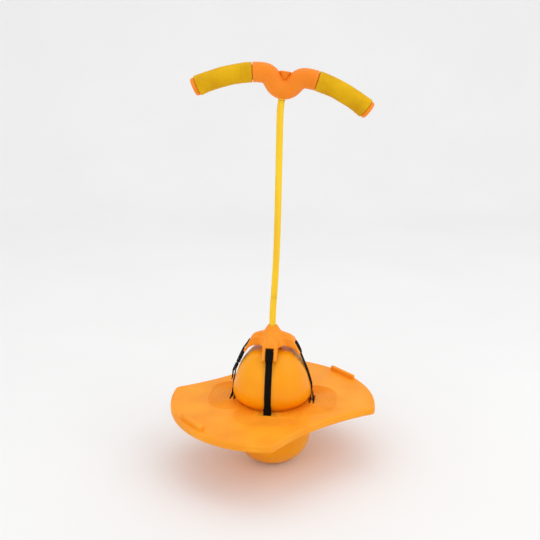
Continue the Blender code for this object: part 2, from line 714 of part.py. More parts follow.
def bar_shell(name, frame, side):
    """One half of the hollow bar: side is -1 for the front and 1 for the rear."""
    shell = whole_bar(name, frame, TUBE_RADIUS, SLEEVE_RADIUS, 0)
    CUTTERS.objects.unlink(shell)
    PARTS.objects.link(shell)
    shell.hide_render = False
    shell.display_type = "TEXTURED"
    cut(shell, whole_bar(name + "_hollow", frame, TUBE_RADIUS - TUBE_WALL,
                         SLEEVE_RADIUS - TUBE_WALL, 0.01))
    for half in (-1, 1):
        for distance in SHELL_SCREWS:
            place = bar_path(distance)[0]
            place.x *= half
            depth = (TUBE_RADIUS if distance < GRIP_START else SLEEVE_RADIUS) - TUBE_WALL / 2
            add(shell, rod(name + "_boss", SCREW_BOSS, place, place + Vector((0, side * depth, 0)),
                           parent=frame, segments=12))
            start = place - Vector((0, 0.01, 0))
            end = place + Vector((0, 0.03 if side > 0 else 0.001, 0))
            cut(shell, rod(name + "_screw_hole", SCREW_RADIUS + GAP, start, end, parent=frame,
                           segments=12))
            if side > 0:
                head = place + Vector((0, screw_head_depth(distance) - GAP, 0))
                cut(shell, rod(name + "_head_hole", SCREW_HEAD + GAP, head, head + Vector((0, 0.02, 0)),
                               parent=frame, segments=16))
    far = 0.25
    keep_from = side * GAP / 2
    cut(shell, box(name + "_other_side", (2 * far, far, far), (0, keep_from - side * far / 2, 0),
                   parent=frame))
    cut(shell, rod(name + "_cord_bore", CORD_BORE + 0.0001, (0, 0, -0.04), (0, 0, 0.06), parent=frame,
                   segments=24))
    cut(shell, plug_seat(name + "_plug_seat", frame))
    return smooth(finish(shell, ORANGE, 0.4))


def plug_seat(name, frame):
    """The tapered seat in the notch that the cord's top plug sinks into."""
    wide, narrow = max(TOP_PLUG), TOP_PLUG[3]
    clear = 2 * GAP
    profile = [(0, 0.06), (wide[0] + clear, 0.06), (wide[0] + clear, wide[1]),
               (narrow[0] + clear, narrow[1]), (0, narrow[1])]
    return turned(name, profile, CUTTERS, frame, steps=24)


def screw_head_depth(distance):
    """How far behind the bar's centre line the underside of a screw's head sits."""
    return (TUBE_RADIUS if distance < GRIP_START else SLEEVE_RADIUS) - SCREW_SUNK


def build_shell_screws(frame):
    """The four screws that hold the rear shell to the front one."""
    places = [(side, distance) for side in (-1, 1) for distance in SHELL_SCREWS]
    for number, (side, distance) in enumerate(places, start=1):
        head = screw_head_depth(distance)
        top = head + SCREW_HEAD_THICKNESS
        profile = [(0, top), (SCREW_HEAD, top), (SCREW_HEAD, head), (SCREW_RADIUS, head),
                   (SCREW_RADIUS, SCREW_TIP), (0, SCREW_TIP)]
        screw = turned("handlebar_screw_%d" % number, profile, parent=frame, steps=12)
        place = bar_path(distance)[0]
        screw.location = (side * place.x, 0, place.z)
        screw.rotation_euler.x = -pi / 2
        smooth(finish(screw, STEEL, 0.35))


def build_grip(name, frame, side):
    start, end = GRIP_START + 4 * GAP, BAR_END - 2 * GAP
    outer = bar_points(start, end, 0.012)
    inner = bar_points(start, end, 0.012)
    inner[0] += (inner[0] - inner[1]).normalized() * 0.005
    inner[-1] += (inner[-1] - inner[-2]).normalized() * 0.005
    if side < 0:
        outer, inner = mirrored(outer), mirrored(inner)
    grip = as_mesh(tube(name, outer, [GRIP_RADIUS] * len(outer), PARTS, frame, resolution=6))
    cut(grip, as_mesh(tube(name + "_bore", inner, [SLEEVE_RADIUS + 2 * GAP] * len(inner), parent=frame,
                           resolution=6)))
    return smooth(finish(grip, GRIP_YELLOW, 0.75))


def build_end_cap(name, frame, side):
    spigot = SLEEVE_RADIUS - TUBE_WALL - 2 * GAP
    profile = [(0, CAP_THICKNESS), (CAP_RADIUS - 0.0030, CAP_THICKNESS),
               (CAP_RADIUS - 0.0009, CAP_THICKNESS - 0.0009), (CAP_RADIUS, CAP_THICKNESS - 0.0030),
               (CAP_RADIUS, GAP), (spigot, GAP), (spigot, -CAP_SPIGOT), (0, -CAP_SPIGOT)]
    cap = turned(name, profile, parent=frame, steps=24)
    place, heading = bar_path(BAR_END)
    cap.location = (side * place.x, 0, place.z)
    cap.rotation_euler = (0, side * (pi / 2 - heading), 0)
    return smooth(finish(cap, ORANGE, 0.4))


def build_handlebar(frame):
    bar_shell("handlebar_front_shell", frame, -1)
    bar_shell("handlebar_rear_shell", frame, 1)
    build_shell_screws(frame)
    for name, side in (("left", -1), ("right", 1)):
        build_grip("grip_" + name, frame, side)
        build_end_cap("end_cap_" + name, frame, side)


# ---------- assembly ----------

def main():
    build_deck()
    build_ball()
    build_crown()
    build_straps()
    build_buckle()
    build_cord_root()
    build_cord_flex()
    build_cord_main(handle_matrix())
    frame = bpy.data.objects.new("handle_frame", None)
    link(frame, PARTS)
    frame.matrix_world = handle_matrix()
    build_cord_top(frame)
    build_handlebar(frame)


main()
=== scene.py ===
"""Looks for the ball jumper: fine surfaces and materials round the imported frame, in metres."""

import json
from math import acos, atan2, cos, exp, hypot, pi, radians, sin, sqrt

import bpy
import bmesh
from mathutils import Matrix, Vector


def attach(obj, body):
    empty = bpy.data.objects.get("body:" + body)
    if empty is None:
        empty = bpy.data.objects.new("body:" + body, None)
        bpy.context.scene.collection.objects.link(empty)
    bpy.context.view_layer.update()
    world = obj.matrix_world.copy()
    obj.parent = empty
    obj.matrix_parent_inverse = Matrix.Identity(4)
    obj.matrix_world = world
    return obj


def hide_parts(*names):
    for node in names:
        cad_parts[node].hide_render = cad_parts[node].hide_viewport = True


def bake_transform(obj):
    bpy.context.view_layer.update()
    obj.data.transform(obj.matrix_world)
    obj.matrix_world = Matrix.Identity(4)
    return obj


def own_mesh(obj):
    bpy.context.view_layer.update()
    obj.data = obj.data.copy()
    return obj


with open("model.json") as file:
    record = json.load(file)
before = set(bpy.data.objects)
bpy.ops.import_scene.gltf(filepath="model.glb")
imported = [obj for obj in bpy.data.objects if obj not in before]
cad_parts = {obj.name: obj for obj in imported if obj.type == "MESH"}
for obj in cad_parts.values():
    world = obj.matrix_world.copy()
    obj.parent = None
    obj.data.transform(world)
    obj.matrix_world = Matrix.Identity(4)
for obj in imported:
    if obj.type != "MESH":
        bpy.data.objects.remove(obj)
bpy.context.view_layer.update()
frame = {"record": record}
JOINTS = {joint["name"]: joint for joint in frame["record"]["behaviour"]["joints"]}

# Board
DECK_TOP = 0.1386
DECK_BOTTOM = 0.1246
DECK_END = 0.2140
DECK_WAIST = 0.1516
DECK_CORNER = (0.133, 0.170)
CORNER_RADIUS = 0.014
DECK_HOLE = 0.0712
DECK_SKIN = 0.0034
DECK_WALL = 0.0032
END_DROOP = 0.003
OUTER_SLOT = 0.0877
INNER_SLOT = 0.0790
SLOT_SIZE = (0.004, 0.043)
END_STOP_X = 0.2
END_STOP_SIZE = (0.009, 0.073, 0.0125)
END_STOP_RISE = 0.0105
RING_RIB = 0.098
BISECT_STEP = 0.016
SLOT_WELL = (0.0165, 0.0500, 0.0100)
STRAP_ROOM = (0.0134, 0.0180, 0.0044)
WELL_RADIUS = 0.0834
RIDGE_COUNT = 9
RIDGE_START = 0.0085
RIDGE_PITCH = 0.0047
RIDGE_RADIUS = 0.0012
RIDGE_HEIGHT = DECK_TOP - 0.0001
RIDGE_OVERLAP = 0.016
STRAP_AZIMUTHS = [radians(45 + 90 * i) for i in range(4)]

# Ball, as outlines of radius and height
UPPER_LOBE = [(0.0, 0.2520), (0.0220, 0.2508), (0.0410, 0.2462), (0.0535, 0.2340), (0.0630, 0.2220),
              (0.0720, 0.2050), (0.0780, 0.1860), (0.0812, 0.1740), (0.0820, 0.1630),
              (0.0812, 0.1550), (0.0785, 0.1480), (0.0706, 0.1388)]
LOWER_LOBE = [(0.0706, 0.1385), (0.0706, 0.1190), (0.0765, 0.0980), (0.0798, 0.0820),
              (0.0802, 0.0660), (0.0794, 0.0520), (0.0742, 0.0365), (0.0655, 0.0232),
              (0.0552, 0.0128), (0.0460, 0.0070), (0.0370, 0.0034), (0.0290, 0.0010),
              (0.0240, 0.0), (0.0, 0.0)]
BALL_WALL = 0.003
BALL_SIDES = 216
BALL_SWELL = 0.0040
STRAP_DENT = 0.0006
STRAP_CREASE = 0.0005
VALVE_TILT = radians(70)
VALVE_CLEARANCE = 0.020
VALVE_AZIMUTH = radians(100)
VALVE_PLACE = (0.0757, 0.1950)

# Crown
BOSS_TOP = 0.301
HUB_BOTTOM = 0.2555
ARM_WIDTH = 0.031
ARM_PLATE = 0.003
ARM_SHOULDER = (0.0415, 0.2775)
ARM_SLOPE = radians(61)
ARM_LENGTH = 0.038
FORK_LENGTH = 0.018
FORK_WIDTH = 0.017
CROWN_BAR = 0.0045
CROWN_SLOT = 0.0035

# Straps and buckle
STRAP_WIDTH = 0.015
STITCH_COLUMNS = (-0.0052, 0.0052)
STITCHED_LENGTH = 0.0135
WEAVE_ACROSS = 0.0011
WEAVE_ALONG = 0.0009
WAVE_UNIT = 0.314
STRAP_THICKNESS = 0.0015
STRAP_OFFSET = 0.0003 + STRAP_THICKNESS / 2
LAYER_PITCH = STRAP_THICKNESS + 0.0003
BUCKLE_AZIMUTH = radians(135)
BUCKLE_CENTRE = (0.0704, 0.2208)
BUCKLE_TILT = radians(24.5)
BUCKLE_END = 0.0245
SOCKET_MOUTH = -0.003

# Cord and handlebar
LEAN_WAY = Vector((0.7923, -0.6101, 0.0))
CORD_RADIUS = 0.00685
CORD_LEAN = [(0.0, 0.268), (0.0, 0.292), (0.0001, 0.316), (0.0014, 0.346), (0.0034, 0.372),
             (0.0062, 0.422), (0.0084, 0.472), (0.0098, 0.522), (0.0108, 0.570), (0.0118, 0.617),
             (0.0126, 0.664), (0.0136, 0.710), (0.0143, 0.735)]
CORD_PIECES = [("root", "cord_root_section", "platform", 0.268, 0.304),
               ("bend_low", "cord_flex_section", None, 0.304, 0.331),
               ("bend_high", "cord_flex_section", None, 0.331, 0.361),
               ("run", "cord_main_section", None, 0.361, 0.7535),
               ("top", "cord_top_section", "cord_top", 0.7535, 1.0)]
CORD_BLENDS = {"bend_low": ("platform", "cord_flex", 0, 0),
               "bend_high": ("cord_flex", "cord_main", 0, 0),
               "run": ("cord_main", "cord_top", 0.0015, 0.0130)}
HANDLE_CENTRE = Vector(JOINTS["handle_twist"]["pos_m"])
HANDLE_UP = Vector(JOINTS["handle_twist"]["axis"]).normalized()
TUBE_RADIUS = 0.019
TUBE_WALL = 0.003
SLEEVE_RADIUS = 0.014
HALF_ROUTE = [(0.0195, 52), (0.0112, 0), (0.0200, -52), (0.0200, -10), (0.0545, -12),
              (0.0545, -8.5)]
GRIP_START = sum(length for length, turn in HALF_ROUTE[:4])
BAR_END = sum(length for length, turn in HALF_ROUTE)
FOAM_START = GRIP_START + 0.0012
FOAM_END = BAR_END - 0.0006
SHELL_SCREWS = [0.048, 0.110]

# Stage: each lamp is a name, a place, a size and a power
LAMPS = [("key", (0.9, -2.2, 2.4), 2.4, 13), ("left", (-2.4, -0.6, 1.8), 2.2, 5),
         ("top", (0.2, 0.3, 3.2), 2.6, 10)]
SKY_STRENGTH = 0.90
CAMERA_PLACE = (-0.962, -1.2405, 0.877)
CAMERA_AIM = (0.5856, 0.7605, -0.2807)
CAMERA_LENS = 54


# ---------- materials ----------

def linear(value):
    value /= 255
    return value / 12.92 if value <= 0.04045 else ((value + 0.055) / 1.055) ** 2.4


def colour(red, green, blue):
    return (linear(red), linear(green), linear(blue), 1)


class Finish:
    """A Principled material with short calls for the nodes that feed it."""

    def __init__(self, name, roughness):
        self.material = bpy.data.materials.new(name)
        self.material.use_nodes = True
        self.nodes = self.material.node_tree.nodes
        self.links = self.material.node_tree.links
        self.shader = self.nodes["Principled BSDF"]
        self.shader.inputs["Roughness"].default_value = roughness
        self.place = self.node("ShaderNodeTexCoord").outputs["Object"]

    def node(self, kind, **settings):
        node = self.nodes.new(kind)
        for key, value in settings.items():
            setattr(node, key, value)
        return node

    def set(self, **values):
        for key, value in values.items():
            self.shader.inputs[key.replace("_", " ")].default_value = value
        return self

    def noise(self, scale, detail=3.0, stretch=(1, 1, 1)):
        mapping = self.node("ShaderNodeMapping")
        mapping.inputs["Scale"].default_value = stretch
        self.links.new(self.place, mapping.inputs["Vector"])
        noise = self.node("ShaderNodeTexNoise")
        noise.inputs["Scale"].default_value = scale
        noise.inputs["Detail"].default_value = detail
        self.links.new(mapping.outputs["Vector"], noise.inputs["Vector"])
        return noise.outputs["Fac"]

    def ramp(self, factor, *stops):
        ramp = self.node("ShaderNodeValToRGB")
        elements = ramp.color_ramp.elements
        while len(elements) < len(stops):
            elements.new(0.5)
        for element, (position, value) in zip(elements, stops):
            element.position = position
            element.color = value
        self.links.new(factor, ramp.inputs["Fac"])
        return ramp.outputs["Color"]

    def range(self, factor, low, high, start=0.0, end=1.0):
        node = self.node("ShaderNodeMapRange")
        for key, value in (("From Min", start), ("From Max", end), ("To Min", low), ("To Max", high)):
            node.inputs[key].default_value = value
        self.links.new(factor, node.inputs["Value"])
        return node.outputs["Result"]

    def colour_from(self, factor, *stops):
        self.links.new(self.ramp(factor, *stops), self.shader.inputs["Base Color"])
        return self

    def roughness_from(self, factor, low, high):
        self.links.new(self.range(factor, low, high, 0.3, 0.7), self.shader.inputs["Roughness"])
        return self

    def bump(self, *layers):
        """Bump from several heights, each with its depth in metres."""
        normal = None
        for height, depth in layers:
            bump = self.node("ShaderNodeBump")
            bump.inputs["Distance"].default_value = depth
            self.links.new(height, bump.inputs["Height"])
            if normal:
                self.links.new(normal, bump.inputs["Normal"])
            normal = bump.outputs["Normal"]
        self.links.new(normal, self.shader.inputs["Normal"])
        return self

    def wave(self, scale, direction, source=None):
        wave = self.node("ShaderNodeTexWave", bands_direction=direction)
        wave.inputs["Scale"].default_value = scale
        self.links.new(source or self.place, wave.inputs["Vector"])
        return wave.outputs["Fac"]

    def mix(self, first, second, how="ADD"):
        node = self.node("ShaderNodeMath", operation=how)
        self.links.new(first, node.inputs[0])
        self.links.new(second, node.inputs[1])
        return node.outputs["Value"]


def moulded_plastic(name, dark, base, light, roughness=0.42):
    """Satin injection-moulded plastic: faint colour clouding and a fine spark-eroded grain."""
    finish = Finish(name, roughness)
    clouds = finish.noise(14, 4)
    grain = finish.noise(1900, 2)
    finish.colour_from(clouds, (0.30, dark), (0.52, base), (0.75, light))
    finish.roughness_from(finish.noise(60, 4), roughness - 0.06, roughness + 0.07)
    finish.bump((grain, 0.00006), (finish.noise(220, 3), 0.00005))
    finish.set(Subsurface_Weight=0.08, Subsurface_Scale=0.004, Specular_IOR_Level=0.28)
    finish.shader.inputs["Subsurface Radius"].default_value = (1.0, 0.35, 0.1)
    return finish.material


def vinyl():
    """Inflated vinyl: smooth, lightly glossy, with soft clouding and shallow ripples."""
    finish = Finish("ball_vinyl", 0.36)
    clouds = finish.noise(9, 3)
    finish.colour_from(clouds, (0.30, colour(246, 150, 0)), (0.52, colour(252, 160, 0)),
                       (0.78, colour(255, 168, 2)))
    finish.roughness_from(finish.noise(45, 4), 0.30, 0.42)
    finish.bump((finish.noise(26, 2), 0.0005), (finish.noise(1400, 2), 0.00003))
    finish.set(Subsurface_Weight=0.15, Subsurface_Scale=0.006, Specular_IOR_Level=0.25)
    finish.shader.inputs["Subsurface Radius"].default_value = (1.0, 0.5, 0.08)
    return finish.material


def cord_rubber():
    """Drawn latex cord: warm yellow, faintly streaked along its length."""
    finish = Finish("cord_rubber", 0.42)
    streaks = finish.noise(90, 3, (1, 1, 0.06))
    finish.colour_from(streaks, (0.28, colour(240, 186, 2)), (0.50, colour(250, 204, 8)),
                       (0.74, colour(254, 214, 24)))
    finish.roughness_from(finish.noise(70, 3), 0.36, 0.50)
    finish.bump((streaks, 0.00025), (finish.noise(900, 2), 0.00004))
    finish.set(Subsurface_Weight=0.22, Subsurface_Scale=0.004, Specular_IOR_Level=0.45)
    finish.shader.inputs["Subsurface Radius"].default_value = (1.0, 0.7, 0.15)
    return finish.material


def grip_foam():
    """Closed-cell foam: matt, with a pitted skin and handling marks."""
    finish = Finish("grip_foam", 0.78)
    clouds = finish.noise(24, 5)
    cells = finish.noise(1500, 3)
    finish.colour_from(clouds, (0.28, colour(206, 152, 0)), (0.50, colour(222, 170, 2)),
                       (0.76, colour(234, 184, 12)))
    finish.roughness_from(finish.noise(120, 3), 0.70, 0.86)
    finish.bump((cells, 0.00022), (finish.noise(300, 3), 0.00022))
    finish.set(Specular_IOR_Level=0.2)
    return finish.material


def webbing_weave():
    """Plain-woven black polypropylene: ribs along the strap crossed by picks."""
    finish = Finish("webbing_weave", 0.72)
    across = finish.node("ShaderNodeUVMap", uv_map="weave").outputs["UV"]
    ribs = finish.wave(1.0, "X", across)
    picks = finish.wave(1.0, "Y", across)
    weave = finish.mix(ribs, picks, "MULTIPLY")
    finish.colour_from(weave, (0.0, colour(3, 3, 2)), (0.45, colour(9, 9, 7)),
                       (1.0, colour(20, 19, 16)))
    finish.roughness_from(finish.noise(160, 3), 0.62, 0.82)
    finish.bump((weave, 0.00028), (finish.noise(2500, 2), 0.00008))
    finish.set(Specular_IOR_Level=0.12)
    return finish.material


def black_plastic():
    """Fine-textured black acetal, as buckles are moulded in."""
    finish = Finish("buckle_plastic", 0.55)
    finish.colour_from(finish.noise(80, 4), (0.3, colour(3, 3, 3)), (0.7, colour(10, 10, 9)))
    finish.roughness_from(finish.noise(150, 4), 0.48, 0.64)
    finish.bump((finish.noise(2600, 2), 0.00006))
    finish.set(Specular_IOR_Level=0.22)
    return finish.material


def zinc():
    """Zinc-plated steel with a turned grain."""
    finish = Finish("zinc_plate", 0.32)
    finish.set(Metallic=1.0)
    finish.colour_from(finish.noise(400, 4), (0.3, colour(150, 152, 156)), (0.7, colour(196, 198, 202)))
    finish.roughness_from(finish.noise(900, 3), 0.25, 0.42)
    finish.bump((finish.noise(1500, 2, (1, 1, 6)), 0.00003))
    return finish.material


# ---------- mesh helpers ----------

def piece(name, mesh, material, body, *stands_for, slot=None):
    """A finished piece that rides on a body and stands for its CAD nodes."""
    obj = bpy.data.objects.new(name, mesh)
    bpy.context.scene.collection.objects.link(obj)
    obj.data.materials.clear()
    obj.data.materials.append(material)
    if body:
        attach(obj, body)
    if stands_for:
        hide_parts(*stands_for)
    return obj


def shade(mesh, angle=40):
    mesh.shade_smooth()
    mesh.set_sharp_from_angle(angle=radians(angle))
    return mesh


def grid_mesh(name, rows, wrap_rows=False, wrap_columns=True, cap_ends=False):
    """A mesh over rows of points. Rows and columns may close on themselves."""
    height, width = len(rows), len(rows[0])
    verts = [point for row in rows for point in row]
    faces = []
    for i in range(height if wrap_rows else height - 1):
        below = (i + 1) % height
        for j in range(width if wrap_columns else width - 1):
            right = (j + 1) % width
            faces.append((i * width + j, i * width + right, below * width + right, below * width + j))
    if cap_ends:
        faces.append(tuple(range(width))[::-1])
        faces.append(tuple((height - 1) * width + j for j in range(width)))
    mesh = bpy.data.meshes.new(name)
    mesh.from_pydata(verts, [], faces)
    return mend(mesh)


def mend(mesh):
    """Weld coincident points and turn every face outward."""
    bm = bmesh.new()
    bm.from_mesh(mesh)
    bmesh.ops.remove_doubles(bm, verts=bm.verts, dist=0.00001)
    bmesh.ops.dissolve_degenerate(bm, edges=bm.edges, dist=0.000005)
    bmesh.ops.recalc_face_normals(bm, faces=bm.faces)
    bm.to_mesh(mesh)
    bm.free()
    return mesh


def turned_mesh(name, profile, steps=96, closed=False):
    """A turned solid from radii and heights."""
    rows = [[(radius * cos(2 * pi * k / steps), radius * sin(2 * pi * k / steps), height)
             for k in range(steps)] for radius, height in profile]
    return grid_mesh(name, rows, wrap_rows=closed)


def rounded_box(name, size, radius, segments=3, centre=(0, 0, 0)):
    bm = bmesh.new()
    bmesh.ops.create_cube(bm, size=1.0, matrix=Matrix.LocRotScale(Vector(centre), None, Vector(size)))
    bmesh.ops.bevel(bm, geom=bm.edges[:], offset=radius, segments=segments, profile=0.5, affect="EDGES")
    mesh = bpy.data.meshes.new(name)
    bm.to_mesh(mesh)
    bm.free()
    return mesh


def join_meshes(name, *meshes):
    bm = bmesh.new()
    for mesh in meshes:
        bm.from_mesh(mesh)
    joined = bpy.data.meshes.new(name)
    bm.to_mesh(joined)
    bm.free()
    return joined


def moved(mesh, matrix):
    mesh.transform(matrix)
    return mesh


def worked(mesh, *steps):
    """A mesh after modifiers: each step is a kind and its settings. Meshes stand for cutters."""
    helpers = []
    obj = bpy.data.objects.new("work", mesh)
    bpy.context.scene.collection.objects.link(obj)
    for kind, settings in steps:
        modifier = obj.modifiers.new(kind, kind)
        for key, value in settings.items():
            if isinstance(value, bpy.types.Mesh):
                value = bpy.data.objects.new("helper", value)
                bpy.context.scene.collection.objects.link(value)
                helpers.append(value)
            setattr(modifier, key, value)
    bpy.context.view_layer.update()
    result = bpy.data.meshes.new_from_object(obj.evaluated_get(bpy.context.evaluated_depsgraph_get()))
    result.name = mesh.name
    for helper in [obj] + helpers:
        bpy.data.objects.remove(helper)
    return result


def minus(cutter):
    return ("BOOLEAN", {"operation": "DIFFERENCE", "solver": "EXACT", "object": cutter})


def plus(other):
    return ("BOOLEAN", {"operation": "UNION", "solver": "EXACT", "object": other})


def remesh(size):
    return ("REMESH", {"mode": "VOXEL", "voxel_size": size, "use_smooth_shade": True})


def soften(times, factor=0.5):
    return ("SMOOTH", {"factor": factor, "iterations": times})


def smoothstep(value):
    value = max(0.0, min(1.0, value))
    return value * value * (3 - 2 * value)


def hump(value, centre, width):
    return exp(-((value - centre) / width) ** 2)


def curve_through(points, steps):
    """Points along a smooth curve through the given vectors."""
    found = []
    for i in range(len(points) - 1):
        a = points[i - 1] if i else 2 * points[0] - points[1]
        b, c = points[i], points[i + 1]
        d = points[i + 2] if i + 2 < len(points) else 2 * c - b
        for k in range(steps):
            t = k / steps
            found.append(0.5 * (2 * b + (c - a) * t + (2 * a - 5 * b + 4 * c - d) * t * t
                                + (3 * b - a - 3 * c + d) * t ** 3))
    return found + [points[-1]]


def outline_through(outline, steps):
    return [(p.x, p.y) for p in curve_through([Vector(p) for p in outline], steps)]


def polar(radius, azimuth, height):
    return Vector((radius * cos(azimuth), radius * sin(azimuth), height))


def tube_rows(centres, radius, sides, twist=None):
    """Rings of points round a line of centres. radius may be a number or a function of the place
    along the line, from 0 to 1, and the angle."""
    rows = []
    last = len(centres) - 1
    side = None
    for i, centre in enumerate(centres):
        along = (centres[min(i + 1, last)] - centres[max(i - 1, 0)]).normalized()
        side = side - along * side.dot(along) if side else along.orthogonal()
        side.normalize()
        up = along.cross(side)
        row = []
        for k in range(sides):
            angle = 2 * pi * k / sides
            size = radius(i / last, angle) if callable(radius) else radius
            row.append(centre + (side * cos(angle) + up * sin(angle)) * size)
        rows.append(row)
    return rows


# ---------- board ----------

def arc(centre, radius, start, end, count):
    return [(centre[0] + radius * cos(start + (end - start) * i / count),
             centre[1] + radius * sin(start + (end - start) * i / count)) for i in range(count + 1)]


def deck_outline(inset=0.0):
    """The board's outline: two bulging ends, two hollow sides and four rounded corners."""
    corner_x, corner_y = DECK_CORNER
    end_rise = DECK_END - corner_x
    end_radius = (corner_y ** 2 + end_rise ** 2) / (2 * end_rise)
    end_centre = DECK_END - end_radius
    side_dip = corner_y - DECK_WAIST
    side_radius = (corner_x ** 2 + side_dip ** 2) / (2 * side_dip)
    side_centre = DECK_WAIST + side_radius
    reach_end = end_radius - CORNER_RADIUS
    reach_side = side_radius + CORNER_RADIUS
    apart = hypot(end_centre, side_centre)
    bend = acos((reach_end ** 2 + apart ** 2 - reach_side ** 2) / (2 * reach_end * apart))
    lift = atan2(side_centre, -end_centre) - bend
    corner = (end_centre + reach_end * cos(lift), reach_end * sin(lift))
    side_angle = atan2(corner[1] - side_centre, corner[0])
    corner_radius = max(CORNER_RADIUS - inset, 0.0005)
    quarter = arc((end_centre, 0), end_radius - inset, 0, lift, 34)
    quarter += arc(corner, corner_radius, lift, side_angle + pi, 12)[1:]
    quarter += arc((0, side_centre), side_radius + inset, side_angle, -pi / 2, 22)[1:]
    half = quarter + [(-x, y) for x, y in reversed(quarter[:-1])]
    return half + [(x, -y) for x, y in reversed(half[1:-1])]


def outline_stack(name, levels):
    """A solid lofted through outlines, each given by its inset and height."""
    rows = [[(x, y, height) for x, y in deck_outline(inset)] for inset, height in levels]
    return grid_mesh(name, rows, cap_ends=True)


def slot_cutter(radius, azimuth):
    """A strap slot with rounded ends and a softened lip."""
    width, length = SLOT_SIZE
    rows = []
    for height, grow in ((-0.0085, 0), (-0.0007, 0), (0.0004, 0.0009), (0.004, 0.0045)):
        row = []
        for side in (1, -1):
            for k in range(9):
                angle = side * pi / 2 - pi / 2 + pi * k / 8
                reach = width / 2 + grow
                row.append((radius + reach * cos(angle),
                            side * (length / 2 - width / 2) + reach * sin(angle), DECK_TOP + height))
        rows.append(row)
    cutter = grid_mesh("slot_cutter", rows, cap_ends=True)
    return moved(cutter, Matrix.Rotation(azimuth, 4, "Z"))


def droop(x):
    """How far the board's ends sink below its middle."""
    return END_DROOP * max(0.0, (abs(x) - 0.09) / (DECK_END - 0.09)) ** 2


def drooped(mesh):
    for vert in mesh.vertices:
        vert.co.z -= droop(vert.co.x)
    return mesh


def outline_reach(azimuth):
    best = min(deck_outline(), key=lambda p: abs((atan2(p[1], p[0]) - azimuth + pi) % (2 * pi) - pi))
    return hypot(*best)


def make_deck(plastic):
    """The board: a rimmed shell with ribs, foot stops, strap slots and a closed well under each pair."""
    under_skin = DECK_TOP - DECK_SKIN
    round_over = [(0.0046 - 0.0040 * cos(radians(a)), DECK_TOP - 0.0040 + 0.0040 * sin(radians(a)))
                  for a in range(0, 91, 10)]
    levels = [(0.0012, DECK_BOTTOM), (0.0004, DECK_BOTTOM + 0.0003), (0.0, DECK_BOTTOM + 0.0010),
              (0.0, DECK_BOTTOM + 0.0052), (0.0006, DECK_BOTTOM + 0.0060)] + round_over
    levels += [(0.0052, DECK_TOP), (0.0057, DECK_TOP - 0.0005), (0.0063, DECK_TOP - 0.0005),
               (0.0068, DECK_TOP), (0.0072, DECK_TOP)]
    deck = outline_stack("deck_board", levels)
    pocket = outline_stack("deck_pocket", [(DECK_WALL, DECK_BOTTOM - 0.01),
                                           (DECK_WALL + 0.0004, under_skin)])
    steps = [minus(pocket)]
    rib_top = under_skin + 0.001
    for radius in (DECK_HOLE + DECK_WALL / 2, RING_RIB):
        inner, outer = radius - DECK_WALL / 2, radius + DECK_WALL / 2
        profile = [(inner, rib_top), (outer, rib_top), (outer, DECK_BOTTOM + 0.0004),
                   (outer - 0.0006, DECK_BOTTOM), (inner + 0.0006, DECK_BOTTOM),
                   (inner, DECK_BOTTOM + 0.0004)]
        steps.append(plus(turned_mesh("ring_rib", profile, 120, closed=True)))
    for azimuth in range(0, 360, 30):
        reach = outline_reach(radians(azimuth)) - DECK_WALL / 2
        start = RING_RIB if azimuth % 90 else DECK_HOLE + DECK_WALL / 2
        rib = rounded_box("rib", (reach - start, DECK_WALL * 0.7, rib_top - DECK_BOTTOM), 0.0004, 1,
                          ((reach + start) / 2, 0, (rib_top + DECK_BOTTOM) / 2))
        steps.append(plus(moved(rib, Matrix.Rotation(radians(azimuth), 4, "Z"))))
    for side in (-1, 1):
        stop = rounded_box("foot_stop", END_STOP_SIZE, 0.0030, 6,
                           (side * END_STOP_X, 0, DECK_TOP + END_STOP_RISE - END_STOP_SIZE[2] / 2))
        steps.append(plus(stop))
        base = rounded_box("foot_stop_base", (0.0112, 0.0752, 0.0024), 0.0007, 3,
                           (side * END_STOP_X, 0, DECK_TOP - 0.0003))
        steps.append(plus(base))
    hole = [(0, DECK_BOTTOM - 0.02), (DECK_HOLE, DECK_BOTTOM - 0.02), (DECK_HOLE, DECK_TOP - 0.0014),
            (DECK_HOLE + 0.0004, DECK_TOP - 0.0004), (DECK_HOLE + 0.0014, DECK_TOP + 0.0001),
            (DECK_HOLE + 0.0014, DECK_TOP + 0.02), (0, DECK_TOP + 0.02)]
    steps.append(minus(turned_mesh("waist_hole", hole, 144)))
    for azimuth in STRAP_AZIMUTHS:
        turn = Matrix.Rotation(azimuth, 4, "Z")
        well = rounded_box("slot_well", SLOT_WELL, 0.0005, 1, (WELL_RADIUS, 0, under_skin - 0.0045))
        room = rounded_box("strap_room", STRAP_ROOM, 0.0005, 1, (WELL_RADIUS, 0, under_skin - 0.0022))
        steps += [plus(moved(well, turn)), minus(moved(room, turn))]
        for radius in (INNER_SLOT, OUTER_SLOT):
            steps.append(minus(slot_cutter(radius, azimuth)))
    deck = worked(deck, *steps)
    bm = bmesh.new()
    bm.from_mesh(deck)
    for i in range(-13, 14):
        if abs(i) >= 6:
            bmesh.ops.bisect_plane(bm, geom=bm.verts[:] + bm.edges[:] + bm.faces[:],
                                   plane_co=(i * BISECT_STEP, 0, 0), plane_no=(1, 0, 0), dist=0.00001)
    bm.to_mesh(deck)
    bm.free()
    piece("deck_board", shade(drooped(mend(deck)), 32), plastic, "platform", "deck", slot="board_plastic")


